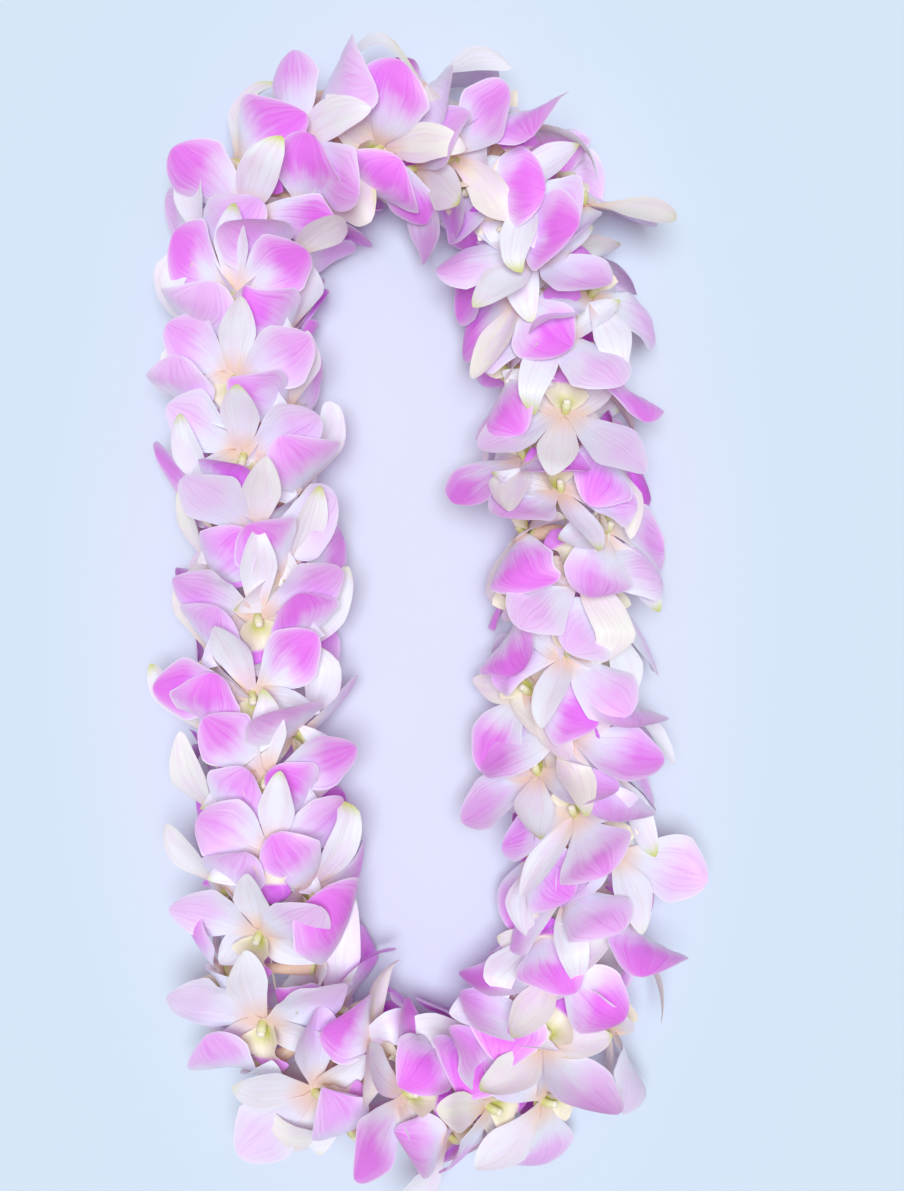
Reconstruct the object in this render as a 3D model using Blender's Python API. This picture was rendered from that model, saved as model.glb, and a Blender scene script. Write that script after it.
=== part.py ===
"""A fresh orchid lei laid flat: dendrobium blossoms strung in opposite pairs on a knotted thread.

Frame: +Y runs along the oval loop, +X to its right and +Z up. The origin is the middle of the lei's
outline, on the surface that it lies on. Lengths are in metres.

A pair of blossoms is first modelled beside a straight thread, in its own frame: x runs forward along
the thread, y across the blossoms and z straight out from the thread. The pair is then rolled round the
thread and bent with the loop. All faces lie on cones that open forward along the thread, one inside
the next, so that the petals of neighbouring blossoms lie over each other and never cross.
"""

import math
import random
from typing import NamedTuple

import bmesh
import bpy
import numpy as np
from mathutils import Matrix, Vector

# The loop that the thread lies in, as seen from above.
LOOP_HALF_WIDTH = 0.0668
LOOP_HALF_LENGTH = 0.2065
END_DEPTH = 0.070
END_SQUARENESS = 2.3
LOOP_LEAN = 0.037
LEG_WAVE = 0.0016
LEG_WAVE_LENGTH = 0.150
THREAD_HEIGHT = 0.0360

# The thread and the knot.
THREAD_RADIUS = 0.0005
KNOT_RING_RADIUS = 0.00165
KNOT_STRAND_RADIUS = 0.0006
KNOT_TILT = math.radians(24.0)
KNOT_TWIST = math.radians(11.0)
KNOT_TURN_SHIFT = 0.0004
KNOT_TAIL_LENGTH = 0.0050
KNOT_TAIL_SLANT = math.radians(-64.0)

# The blossoms: where their faces lie, how thick they are and how they hold the thread.
PAIRS = 58
FACE_DISTANCE = 0.0185
CONE_ANGLE = math.radians(40.0)
TEPAL_THICKNESS = 0.0011
THROAT_RADIUS = 0.0050
COLUMN_HEIGHT = 0.0055
CORE_LENGTH = 0.0064
CORE_HALF_WIDTH = 0.0026
BORE_WALL = 0.0015
PRESSED_THICKNESS = 0.0007

# How far one blossom differs from the next.
ROLL_SPREAD = math.radians(11.0)
STATION_SPREAD = 0.0011
SIZE_SPREAD = 0.05
BEARING_SPREAD = math.radians(3.0)
LENGTH_SPREAD = 0.05
SEED = 1714

# How finely the loop is worked out, and how much of the crowding inside a bend is taken up.
OUTLINE_SAMPLES = 300
LENGTH_SAMPLES = 2400
SLOPE_SAMPLES = 3
SMOOTHING_ROUNDS = 60
INNER_EASING = 0.5

# How many sides the round parts of the knot have.
KNOT_RING_SIDES = 12
STRAND_SIDES = 6

FULL_TURN = 2.0 * math.pi


class Tepal(NamedTuple):
    """A petal, sepal or lip: its bearing from straight forward, its size and its sections.

    Each section is its share of the length, its share of the half width and its lift in metres.
    The last one closes to a point.
    """

    bearing: float
    length: float
    half_width: float
    sections: tuple[tuple[float, float, float], ...]


PETAL_SECTIONS = ((0.42, 0.64, -0.0006), (0.80, 0.98, 0.0006), (1.0, 0.0, 0.0))
SEPAL_SECTIONS = ((0.50, 1.00, 0.0), (0.84, 0.66, 0.0), (1.0, 0.0, 0.0))
SIDE_SEPAL_SECTIONS = ((0.50, 1.00, 0.0012), (1.0, 0.0, 0.0024))
LIP_SECTIONS = ((0.45, 1.00, 0.0036), (1.0, 0.0, 0.0060))
TEPALS = (
    Tepal(math.radians(0.0), 0.0360, 0.0072, SEPAL_SECTIONS),
    Tepal(math.radians(58.0), 0.0380, 0.0140, PETAL_SECTIONS),
    Tepal(math.radians(122.0), 0.0245, 0.0062, SIDE_SEPAL_SECTIONS),
    Tepal(math.radians(180.0), 0.0165, 0.0060, LIP_SECTIONS),
    Tepal(math.radians(238.0), 0.0245, 0.0062, SIDE_SEPAL_SECTIONS),
    Tepal(math.radians(302.0), 0.0380, 0.0140, PETAL_SECTIONS),
)


def clear_scene() -> None:
    """Remove every object that the file starts with."""
    for thing in list(bpy.data.objects):
        bpy.data.objects.remove(thing, do_unlink=True)


def make_material(name: str, colour: tuple[float, float, float], roughness: float) -> bpy.types.Material:
    """Make a plain material of one colour."""
    material = bpy.data.materials.new(name)
    material.use_nodes = True
    shader = material.node_tree.nodes["Principled BSDF"]
    shader.inputs["Base Color"].default_value = (*colour, 1.0)
    shader.inputs["Roughness"].default_value = roughness
    shader.inputs["Metallic"].default_value = 0.0
    return material


class Loop:
    """The closed route of the thread, read by the length along it, clockwise from above."""

    def __init__(self) -> None:
        points = self.outline()
        for _ in range(SMOOTHING_ROUNDS):
            points = (np.roll(points, 1, axis=0) + 2.0 * points + np.roll(points, -1, axis=0)) / 4.0
        points = np.vstack([points, points[:1]])
        steps = np.linalg.norm(np.diff(points, axis=0), axis=1)
        lengths = np.concatenate([[0.0], np.cumsum(steps)])
        self.length = float(lengths[-1])
        self.step = self.length / LENGTH_SAMPLES
        stations = np.arange(LENGTH_SAMPLES) * self.step
        self.points = np.column_stack([np.interp(stations, lengths, points[:, i]) for i in range(2)])
        ahead = self.change(self.points)
        self.tangents = ahead / np.linalg.norm(ahead, axis=1)[:, None]
        right = np.column_stack([self.tangents[:, 1], -self.tangents[:, 0]])
        turn = np.sum(self.change(self.tangents) * right, axis=1)
        self.curvatures = turn / (2.0 * SLOPE_SAMPLES * self.step)

    @staticmethod
    def change(table: np.ndarray) -> np.ndarray:
        """Give how much a table of values changes across the samples on both sides of each one."""
        return np.roll(table, -SLOPE_SAMPLES, axis=0) - np.roll(table, SLOPE_SAMPLES, axis=0)

    @staticmethod
    def outline() -> np.ndarray:
        """Give points along two straight legs and two rounded ends, then lean and wave them."""
        leg_end = LOOP_HALF_LENGTH - END_DEPTH
        leg = np.linspace(-leg_end, leg_end, OUTLINE_SAMPLES, endpoint=False)
        angles = np.linspace(math.pi, 0.0, OUTLINE_SAMPLES, endpoint=False)
        power = 2.0 / END_SQUARENESS
        end_x = LOOP_HALF_WIDTH * np.sign(np.cos(angles)) * np.abs(np.cos(angles)) ** power
        end_y = leg_end + END_DEPTH * np.sin(angles) ** power
        half = np.vstack(
            [
                np.column_stack([np.full_like(leg, -LOOP_HALF_WIDTH), leg]),
                np.column_stack([end_x, end_y]),
            ]
        )
        points = np.vstack([half, -half])
        wave = LEG_WAVE * np.sin(FULL_TURN * points[:, 1] / LEG_WAVE_LENGTH)
        points[:, 0] += wave - LOOP_LEAN * points[:, 1]
        return points

    def read(self, table: np.ndarray, station: np.ndarray | float) -> np.ndarray:
        """Read a table of values along the loop at any length, past its ends too."""
        place = np.asarray(station) / self.step
        low = np.floor(place).astype(int)
        share = place - low
        share = share[..., None] if table.ndim > 1 else share
        return table[low % LENGTH_SAMPLES] * (1.0 - share) + table[(low + 1) % LENGTH_SAMPLES] * share

    def bend(self, points: np.ndarray, station: float) -> np.ndarray:
        """Carry points (along, outward, up) beside a straight thread to their places on the loop.

        Petals outside a bend keep their length along the thread, and those inside it are crowded.
        """
        along, outward, up = points[:, 0], points[:, 1], points[:, 2]
        curvature = float(self.read(self.curvatures, station))
        easing = np.where(outward > 0.0, 1.0, INNER_EASING)
        reached = station + along / (1.0 + curvature * outward * easing)
        middle = self.read(self.points, reached)
        tangent = self.read(self.tangents, reached)
        left = np.column_stack([-tangent[:, 1], tangent[:, 0]])
        flat = middle + left * outward[:, None]
        return np.column_stack([flat, THREAD_HEIGHT + up])

    def frame(self, station: float) -> Matrix:
        """Give the frame at a place on the thread, with its z along the thread."""
        middle = self.read(self.points, station)
        tangent = self.read(self.tangents, station)
        turn = Vector((float(tangent[0]), float(tangent[1]), 0.0)).to_track_quat("Z", "Y")
        place = Vector((float(middle[0]), float(middle[1]), THREAD_HEIGHT))
        return Matrix.Translation(place) @ turn.to_matrix().to_4x4()


def lay_on_cone(flat: Vector) -> Vector:
    """Carry a point of the flat face, forward, across and lifted, onto the cone it lies on."""
    start = FACE_DISTANCE / math.sin(CONE_ANGLE)
    from_apex = math.hypot(start + flat.x, flat.y)
    turned = math.atan2(flat.y, start + flat.x) / math.sin(CONE_ANGLE)
    from_thread = from_apex * math.sin(CONE_ANGLE) + flat.z * math.cos(CONE_ANGLE)
    along = (from_apex - start) * math.cos(CONE_ANGLE) - flat.z * math.sin(CONE_ANGLE)
    return Vector((along, from_thread * math.sin(turned), from_thread * math.cos(turned)))


def make_core() -> bmesh.types.BMesh:
    """Model the block where two chins meet, with the hole that the needle leaves through it."""
    shape = bmesh.new()
    size = Matrix.Diagonal((CORE_LENGTH, 2.0 * CORE_HALF_WIDTH, 2.0 * CORE_HALF_WIDTH, 1.0))
    bmesh.ops.create_cube(shape, size=1.0, matrix=size)
    ends = [face for face in shape.faces if abs(face.normal.x) > 0.9]
    bmesh.ops.inset_individual(shape, faces=ends, thickness=BORE_WALL)
    rims = [edge for face in ends for edge in face.edges]
    bmesh.ops.delete(shape, geom=ends, context="FACES_ONLY")
    bmesh.ops.bridge_loops(shape, edges=rims)
    return shape


def bearing_of(point: Vector) -> float:
    """Give a point's bearing round the face, from straight forward, in a full turn."""
    return math.atan2(point.y, point.x) % FULL_TURN


def between(bearing: float, other: float) -> float:
    """Give the angle between two bearings."""
    return abs((bearing - other + math.pi) % FULL_TURN - math.pi)


def notches_between(tepals: list[Tepal]) -> list[float]:
    """Give the bearing of each notch, halfway from one tepal to the next."""
    ends = [tepal.bearing for tepal in tepals[1:]] + [FULL_TURN]
    return [(tepal.bearing + end) / 2.0 for tepal, end in zip(tepals, ends, strict=True)]


def make_throat(shape: bmesh.types.BMesh, tepals: list[Tepal]) -> bmesh.types.BMFace:
    """Draw the chin out of the core's top to a throat with one side for each tepal, and give its face."""
    top = Vector((0.0, 0.0, CORE_HALF_WIDTH))
    core_top = min(shape.faces, key=lambda face: (face.calc_center_median() - top).length)
    under = bmesh.ops.extrude_discrete_faces(shape, faces=[core_top])["faces"][0]
    for vert in under.verts:
        vert.co.z = FACE_DISTANCE - TEPAL_THICKNESS / 2.0
    lengthwise = [edge for edge in under.edges if abs(edge.verts[0].co.x - edge.verts[1].co.x) > BORE_WALL]
    bmesh.ops.bisect_edges(shape, edges=lengthwise, cuts=1)
    corners = sorted(under.verts, key=lambda vert: bearing_of(vert.co))
    for vert, notch in zip(corners, notches_between(tepals), strict=True):
        vert.co.x = THROAT_RADIUS * math.cos(notch)
        vert.co.y = THROAT_RADIUS * math.sin(notch)
    throat = bmesh.ops.extrude_discrete_faces(shape, faces=[under])["faces"][0]
    for vert in throat.verts:
        vert.co.z += TEPAL_THICKNESS
    return throat


def grow_tepal(
    shape: bmesh.types.BMesh, side: bmesh.types.BMFace, tepal: Tepal, inner: bmesh.types.BMLayerItem
) -> None:
    """Draw a petal, sepal or lip out of one side of the throat, section by section, to its tip."""
    forward = Vector((math.cos(tepal.bearing), math.sin(tepal.bearing), 0.0))
    across = Vector((-forward.y, forward.x, 0.0))
    end = side
    for length, width, lift in tepal.sections:
        end = bmesh.ops.extrude_discrete_faces(shape, faces=[end])["faces"][0]
        level = sum(vert.co.z for vert in end.verts) / len(end.verts)
        for vert in end.verts:
            right = math.copysign(tepal.half_width * width, vert.co.dot(across))
            vert[inner] = int(vert.co.z < level)
            rise = -TEPAL_THICKNESS / 2.0 if vert[inner] else TEPAL_THICKNESS / 2.0
            vert.co = forward * (tepal.length * length) + across * right
            vert.co.z = FACE_DISTANCE + lift + rise
    for vert in end.verts:
        vert[inner] = 0
    tip = sum((vert.co for vert in end.verts), Vector()) / len(end.verts)
    bmesh.ops.pointmerge(shape, verts=end.verts[:], merge_co=tip)


def grow_blossom(shape: bmesh.types.BMesh, tepals: list[Tepal], size: float) -> None:
    """Grow a blossom out of the core's top, and lay its face on the cone."""
    inner = shape.verts.layers.int["inner"]
    throat = make_throat(shape, tepals)
    sides = [next(face for face in edge.link_faces if face is not throat) for edge in throat.edges]
    for side in sides:
        bearing = bearing_of(side.calc_center_median())
        grow_tepal(shape, side, min(tepals, key=lambda tepal: between(tepal.bearing, bearing)), inner)
    bmesh.ops.poke(shape, faces=[throat], offset=COLUMN_HEIGHT)
    middle = Vector((0.0, 0.0, FACE_DISTANCE))
    for vert in shape.verts:
        if vert.co.z > FACE_DISTANCE / 2.0:
            vert.co = lay_on_cone((vert.co - middle) * size)


def vary(tepals: tuple[Tepal, ...], chance: random.Random) -> list[Tepal]:
    """Turn and stretch each tepal a little, as no two blossoms are alike."""
    varied = []
    for tepal in tepals:
        turned = chance.uniform(-BEARING_SPREAD, BEARING_SPREAD) if tepal.bearing else 0.0
        stretched = 1.0 + chance.uniform(-LENGTH_SPREAD, LENGTH_SPREAD)
        varied.append(tepal._replace(bearing=tepal.bearing + turned, length=tepal.length * stretched))
    return varied


def make_pair(name: str, loop: Loop, station: float, roll: float, chance: random.Random) -> bpy.types.Object:
    """Make two opposite blossoms, grown from one core, at their place on the loop."""
    shape = make_core()
    shape.verts.layers.int.new("inner")
    half_turn = Matrix.Rotation(math.pi, 4, "X")
    for _ in range(2):
        grow_blossom(shape, vary(TEPALS, chance), 1.0 + chance.uniform(-SIZE_SPREAD, SIZE_SPREAD))
        shape.transform(half_turn)
    shape.transform(Matrix.Rotation(roll, 4, "X"))
    points = np.array([vert.co for vert in shape.verts])
    inner = np.array([vert[shape.verts.layers.int["inner"]] for vert in shape.verts])
    placed = loop.bend(points, station)
    placed[:, 2] = np.maximum(placed[:, 2], inner * PRESSED_THICKNESS)
    for vert, place in zip(shape.verts, placed, strict=True):
        vert.co = place
    shape.verts.layers.int.remove(shape.verts.layers.int["inner"])
    return object_from(shape, name)


def object_from(shape: bmesh.types.BMesh, name: str) -> bpy.types.Object:
    """Turn a finished shape into an object in the scene, with its faces pointing out."""
    bmesh.ops.triangulate(shape, faces=shape.faces[:])
    bmesh.ops.recalc_face_normals(shape, faces=shape.faces[:])
    mesh = bpy.data.meshes.new(name)
    shape.to_mesh(mesh)
    shape.free()
    thing = bpy.data.objects.new(name, mesh)
    bpy.context.scene.collection.objects.link(thing)
    return thing


def make_thread(loop: Loop) -> bpy.types.Object:
    """Make the closed thread, with a point at each pair and one between."""
    curve = bpy.data.curves.new("thread", "CURVE")
    curve.dimensions = "3D"
    curve.bevel_depth = THREAD_RADIUS
    curve.bevel_resolution = 1
    spline = curve.splines.new("POLY")
    spline.points.add(2 * PAIRS - 1)
    for index, point in enumerate(spline.points):
        middle = loop.read(loop.points, index * loop.length / (2 * PAIRS))
        point.co = (float(middle[0]), float(middle[1]), THREAD_HEIGHT, 1.0)
    spline.use_cyclic_u = True
    thread = bpy.data.objects.new("thread", curve)
    bpy.context.scene.collection.objects.link(thread)
    return thread


def make_tail(frame: Matrix, side: float) -> bpy.types.Object:
    """Make one cut end of the thread, leaving the knot at a slant."""
    out = Matrix.Translation((0.0, side * KNOT_RING_RADIUS, 0.0))
    slant = Matrix.Rotation(side * KNOT_TAIL_SLANT, 4, "X")
    along = Matrix.Translation((0.0, 0.0, KNOT_TAIL_LENGTH / 2.0))
    shape = bmesh.new()
    bmesh.ops.create_cone(
        shape,
        cap_ends=True,
        segments=STRAND_SIDES,
        radius1=KNOT_STRAND_RADIUS,
        radius2=KNOT_STRAND_RADIUS,
        depth=KNOT_TAIL_LENGTH,
        matrix=frame @ out @ slant @ along,
    )
    return object_from(shape, "tail")


def make_knot(loop: Loop) -> bpy.types.Object:
    """Make the knot: two crossed turns round the thread, joined with the two cut tails."""
    frame = loop.frame(loop.length / (2 * PAIRS))
    turns = []
    for side in (-1.0, 1.0):
        bpy.ops.mesh.primitive_torus_add(
            major_segments=KNOT_RING_SIDES,
            minor_segments=STRAND_SIDES,
            major_radius=KNOT_RING_RADIUS,
            minor_radius=KNOT_STRAND_RADIUS,
        )
        turn = bpy.context.object
        tilt = Matrix.Rotation(side * KNOT_TILT, 4, "X") @ Matrix.Rotation(side * KNOT_TWIST, 4, "Z")
        turn.data.transform(frame @ Matrix.Translation((0.0, 0.0, side * KNOT_TURN_SHIFT)) @ tilt)
        turns.append(turn)
    knot = turns[0]
    knot.name = "knot"
    for other in (turns[1], make_tail(frame, -1.0), make_tail(frame, 1.0)):
        join = knot.modifiers.new("join", "BOOLEAN")
        join.operation = "UNION"
        join.solver = "EXACT"
        join.object = other
        evaluated = knot.evaluated_get(bpy.context.evaluated_depsgraph_get())
        joined = bpy.data.meshes.new_from_object(evaluated)
        knot.modifiers.remove(join)
        knot.data = joined
        bpy.data.objects.remove(other, do_unlink=True)
    return knot


def dress(thing: bpy.types.Object, material: bpy.types.Material, home: bpy.types.Collection) -> None:
    """Give a finished piece its material and move it into the lei's collection."""
    thing.data.materials.clear()
    thing.data.materials.append(material)
    for collection in list(thing.users_collection):
        collection.objects.unlink(thing)
    home.objects.link(thing)


def centre_on_origin(things: list[bpy.types.Object]) -> None:
    """Move the whole lei so that its outline's middle is at the origin, still on the surface."""
    bpy.context.view_layer.update()
    corners = [thing.matrix_world @ Vector(corner) for thing in things for corner in thing.bound_box]
    middle = (np.min(corners, axis=0) + np.max(corners, axis=0)) / 2.0
    for thing in things:
        thing.location.x -= middle[0]
        thing.location.y -= middle[1]


def main() -> None:
    """Build the whole lei."""
    clear_scene()
    home = bpy.data.collections.new("flower_lei")
    bpy.context.scene.collection.children.link(home)
    chance = random.Random(SEED)
    loop = Loop()
    for index in range(PAIRS):
        name = f"blossom_pair_{index + 1:02d}"
        station = index * loop.length / PAIRS + chance.uniform(-STATION_SPREAD, STATION_SPREAD)
        roll = (index % 2) * math.pi / 2.0 + chance.uniform(-ROLL_SPREAD, ROLL_SPREAD)
        pair = make_pair(name, loop, station, roll, chance)
        blush = (0.86, 0.52 + 0.2 * chance.random(), 0.86)
        dress(pair, make_material(f"petals_{index + 1:02d}", blush, 0.5), home)
    dress(make_thread(loop), make_material("cotton_thread", (0.86, 0.84, 0.76), 0.85), home)
    dress(make_knot(loop), make_material("cotton_knot", (0.83, 0.81, 0.72), 0.85), home)
    centre_on_origin(list(home.objects))


main()
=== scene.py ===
"""The looks of a fresh orchid lei laid flat: its blossoms, its thread and its knot.

Frame: +Y runs along the oval loop, +X to its right and +Z up, in metres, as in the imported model.

A blossom is modelled flat in a frame of its own: x runs forward along the thread, y across and z out
of the face, with the origin where its petals and sepals meet. Each blossom of the lei is a copy with a
mesh of its own. Its petals are swung, lifted and curled a little further, its face is leaned forward
and part of the way round the thread, and then it is rolled round the thread and bent with the loop.
"""

import logging
import math
import random
from collections.abc import Callable, Iterable
from dataclasses import dataclass, field, replace
from enum import Enum
from typing import ClassVar

import bmesh
import bpy
import numpy as np
from mathutils import Matrix, Vector


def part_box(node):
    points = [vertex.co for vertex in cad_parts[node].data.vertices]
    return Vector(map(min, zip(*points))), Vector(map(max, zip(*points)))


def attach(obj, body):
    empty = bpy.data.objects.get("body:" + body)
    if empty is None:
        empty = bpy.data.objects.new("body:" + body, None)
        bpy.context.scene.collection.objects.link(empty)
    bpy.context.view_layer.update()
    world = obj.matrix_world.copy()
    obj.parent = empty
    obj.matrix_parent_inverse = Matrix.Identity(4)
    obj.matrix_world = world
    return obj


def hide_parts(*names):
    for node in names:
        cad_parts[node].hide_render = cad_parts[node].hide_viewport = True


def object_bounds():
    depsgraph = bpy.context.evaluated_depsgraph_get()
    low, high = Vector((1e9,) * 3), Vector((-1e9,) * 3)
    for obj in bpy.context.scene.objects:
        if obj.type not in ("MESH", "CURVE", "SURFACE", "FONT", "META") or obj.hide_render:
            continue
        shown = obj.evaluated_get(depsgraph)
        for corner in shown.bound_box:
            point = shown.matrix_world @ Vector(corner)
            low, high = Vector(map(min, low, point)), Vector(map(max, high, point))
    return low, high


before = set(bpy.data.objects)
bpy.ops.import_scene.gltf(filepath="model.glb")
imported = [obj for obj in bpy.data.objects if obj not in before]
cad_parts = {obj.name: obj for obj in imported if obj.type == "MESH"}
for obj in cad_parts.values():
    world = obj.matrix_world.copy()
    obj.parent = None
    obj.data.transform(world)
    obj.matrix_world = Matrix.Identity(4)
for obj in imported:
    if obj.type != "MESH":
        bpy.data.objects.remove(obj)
cad_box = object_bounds()

log = logging.getLogger("flower_lei")

Colour = tuple[float, float, float]
# A ramp holds where a value has not risen yet and where it has risen fully, in either order.
Ramp = tuple[float, float]
Socket = bpy.types.NodeSocket
Value = float | Socket

BODY = "root"
MILLIMETRE = 0.001
FULL_TURN = 2.0 * math.pi
PETAL_MAP = "petal"
# Places that are less than a hair apart count as the same.
HAIR = 0.001 * MILLIMETRE
PAIRS = 58
COTTON_CREASE = math.radians(50.0)
# The studio shows its colours with this gamma, which every tint allows for.
SCREEN_GAMMA = 1.2


# ---------------------------------------------------------------------------------------------------
# Modelling by hand
# ---------------------------------------------------------------------------------------------------


def pick(thing: bpy.types.Object) -> None:
    """Make one object the only selected and active one.

    Args:
        thing: The object.
    """
    for other in list(bpy.context.selected_objects):
        other.select_set(False)
    thing.select_set(True)
    bpy.context.view_layer.objects.active = thing


def select_verts(thing: bpy.types.Object, wanted: Callable[[bmesh.types.BMVert], bool]) -> None:
    """Select the vertices of the object being edited that pass a test, and no others.

    Args:
        thing: The object, in edit mode.
        wanted: The test, given a vertex.
    """
    shape = bmesh.from_edit_mesh(thing.data)
    shape.verts.ensure_lookup_table()
    bpy.ops.mesh.select_all(action="DESELECT")
    for vert in shape.verts:
        vert.select_set(wanted(vert))
    shape.select_flush(True)
    bmesh.update_edit_mesh(thing.data)


def turn(angle: float, axis: str, centre: tuple[float, float, float]) -> None:
    """Turn what is selected by the right-hand rule; without a window the operator turns the other way."""
    bpy.ops.transform.rotate(value=-angle, orient_axis=axis, center_override=centre)


def apply_all(thing: bpy.types.Object) -> None:
    """Apply every modifier of an object, in order.

    Args:
        thing: The object.
    """
    pick(thing)
    for modifier in list(thing.modifiers):
        bpy.ops.object.modifier_apply(modifier=modifier.name)


def apply_place(thing: bpy.types.Object) -> None:
    """Move an object's place, turn and size into its mesh."""
    pick(thing)
    bpy.ops.object.transform_apply(location=True, rotation=True, scale=True)


def joined(things: list[bpy.types.Object], name: str) -> bpy.types.Object:
    """Join objects into the first of them, and name it.

    Args:
        things: The objects, the one to keep first.
        name: The name of the joined object.

    Returns:
        The joined object.
    """
    pick(things[0])
    for thing in things[1:]:
        thing.select_set(True)
    bpy.ops.object.join()
    whole = bpy.context.view_layer.objects.active
    whole.name = name
    whole.data.name = name
    return whole


def ease(value: np.ndarray, start: float, end: float) -> np.ndarray:
    """Rise smoothly from 0 at start to 1 at end."""
    share = np.clip((value - start) / (end - start), 0.0, 1.0)
    return share * share * (3.0 - 2.0 * share)


# ---------------------------------------------------------------------------------------------------
# Materials
# ---------------------------------------------------------------------------------------------------


def tint(red: float, green: float, blue: float) -> Colour:
    """Turn a colour as it looks on a screen, at the studio's gamma, into the linear values of a shader."""
    shown = [channel**SCREEN_GAMMA for channel in (red, green, blue)]
    return tuple(((c + 0.055) / 1.055) ** 2.4 if c > 0.04045 else c / 12.92 for c in shown)


class Graph:
    """A material's nodes, with short calls for the sums and mixes that the finishes need."""

    def __init__(self, name: str) -> None:
        """Start a material that has only its shader.

        Args:
            name: The material's name.
        """
        self.material = bpy.data.materials.new(name)
        self.material.use_nodes = True
        self.nodes = self.material.node_tree.nodes
        self.links = self.material.node_tree.links
        self.shader = self.nodes["Principled BSDF"]

    def feed(self, socket: Socket, value: Value | Colour) -> None:
        """Link a socket to another's output, or give it a fixed value.

        Args:
            socket: The input to be fed.
            value: What it takes: an output, a number or a colour.
        """
        if isinstance(value, bpy.types.NodeSocket):
            self.links.new(value, socket)
        elif isinstance(value, tuple) and socket.type == "RGBA":
            socket.default_value = (*value, 1.0)
        else:
            socket.default_value = value

    def sum(self, operation: str, *values: Value) -> Socket:
        """Do one sum on one to three values.

        Args:
            operation: The sum, by its name in the nodes.
            values: What it is done on, in order.

        Returns:
            The result.
        """
        node = self.nodes.new("ShaderNodeMath")
        node.operation = operation
        for socket, value in zip(node.inputs, values):
            self.feed(socket, value)
        return node.outputs[0]

    def fade(self, value: Value, start: float, end: float) -> Socket:
        """Rise smoothly from 0 where a value is start to 1 where it is end.

        Args:
            value: The value that is read.
            start: Where it has not risen yet.
            end: Where it has risen fully, above or below start.

        Returns:
            The risen value.
        """
        node = self.nodes.new("ShaderNodeMapRange")
        node.interpolation_type = "SMOOTHSTEP"
        for name, given in (("Value", value), ("From Min", start), ("From Max", end)):
            self.feed(node.inputs[name], given)
        return node.outputs["Result"]

    def mix(self, share: Value, low: Socket | Colour, high: Socket | Colour) -> Socket:
        """Mix two colours.

        Args:
            share: How much of the second colour there is.
            low: The first colour.
            high: The second colour.

        Returns:
            The mixed colour.
        """
        node = self.nodes.new("ShaderNodeMix")
        node.data_type = "RGBA"
        colours = [socket for socket in node.inputs if socket.type == "RGBA"]
        self.feed(node.inputs[0], share)
        self.feed(colours[0], low)
        self.feed(colours[1], high)
        return next(socket for socket in node.outputs if socket.type == "RGBA")

    def join(self, x: Value, y: Value, z: Value) -> Socket:
        """Make a vector of three values.

        Args:
            x: Its first value.
            y: Its second value.
            z: Its third value.

        Returns:
            The vector.
        """
        node = self.nodes.new("ShaderNodeCombineXYZ")
        for socket, value in zip(node.inputs, (x, y, z)):
            self.feed(socket, value)
        return node.outputs[0]

    def noise(self, vector: Socket, scale: float, detail: float = 2.0, roughness: float = 0.5) -> Socket:
        """Read soft noise.

        Args:
            vector: The place at which it is read.
            scale: How many swells it has to a unit.
            detail: How many finer layers it has.
            roughness: How strong the finer layers are.

        Returns:
            The noise, from 0 to 1.
        """
        node = self.nodes.new("ShaderNodeTexNoise")
        self.feed(node.inputs["Vector"], vector)
        node.inputs["Scale"].default_value = scale
        node.inputs["Detail"].default_value = detail
        node.inputs["Roughness"].default_value = roughness
        return node.outputs["Fac"]

    def place(self) -> Socket:
        """Read the place on the object."""
        return self.nodes.new("ShaderNodeTexCoord").outputs["Object"]

    def own(self, name: str) -> Socket:
        """Read one of the piece's own values, kept at its vertices.

        Args:
            name: The value's name.

        Returns:
            The value.
        """
        node = self.nodes.new("ShaderNodeAttribute")
        node.attribute_name = name
        return node.outputs["Fac"]

    def sheet(self) -> tuple[Socket, Socket]:
        """Read where on its petal a spot is.

        Returns:
            How far across and how far along it is, both from 0 to 1.
        """
        node = self.nodes.new("ShaderNodeUVMap")
        node.uv_map = PETAL_MAP
        apart = self.nodes.new("ShaderNodeSeparateXYZ")
        self.links.new(node.outputs[0], apart.inputs[0])
        return apart.outputs[0], apart.outputs[1]

    def bump(self, height: Socket, distance: float, strength: float) -> None:
        """Raise the surface by a height, as seen in how it catches light.

        Args:
            height: The height, from 0 to 1.
            distance: How high a height of 1 stands.
            strength: How much of it is seen.
        """
        node = self.nodes.new("ShaderNodeBump")
        node.inputs["Strength"].default_value = strength
        node.inputs["Distance"].default_value = distance
        self.links.new(height, node.inputs["Height"])
        self.links.new(node.outputs[0], self.shader.inputs["Normal"])


@dataclass(frozen=True)
class Flesh:
    """How the waxy skin takes light, the same for every part of a blossom."""

    roughness: float = 0.46
    specular: float = 0.34
    sheen: float = 0.06

    def lay(self, graph: Graph) -> None:
        """Set the shader's own values.

        Args:
            graph: The material.
        """
        inputs = graph.shader.inputs
        inputs["Roughness"].default_value = self.roughness
        inputs["Specular IOR Level"].default_value = self.specular
        inputs["Sheen Weight"].default_value = self.sheen


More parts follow.
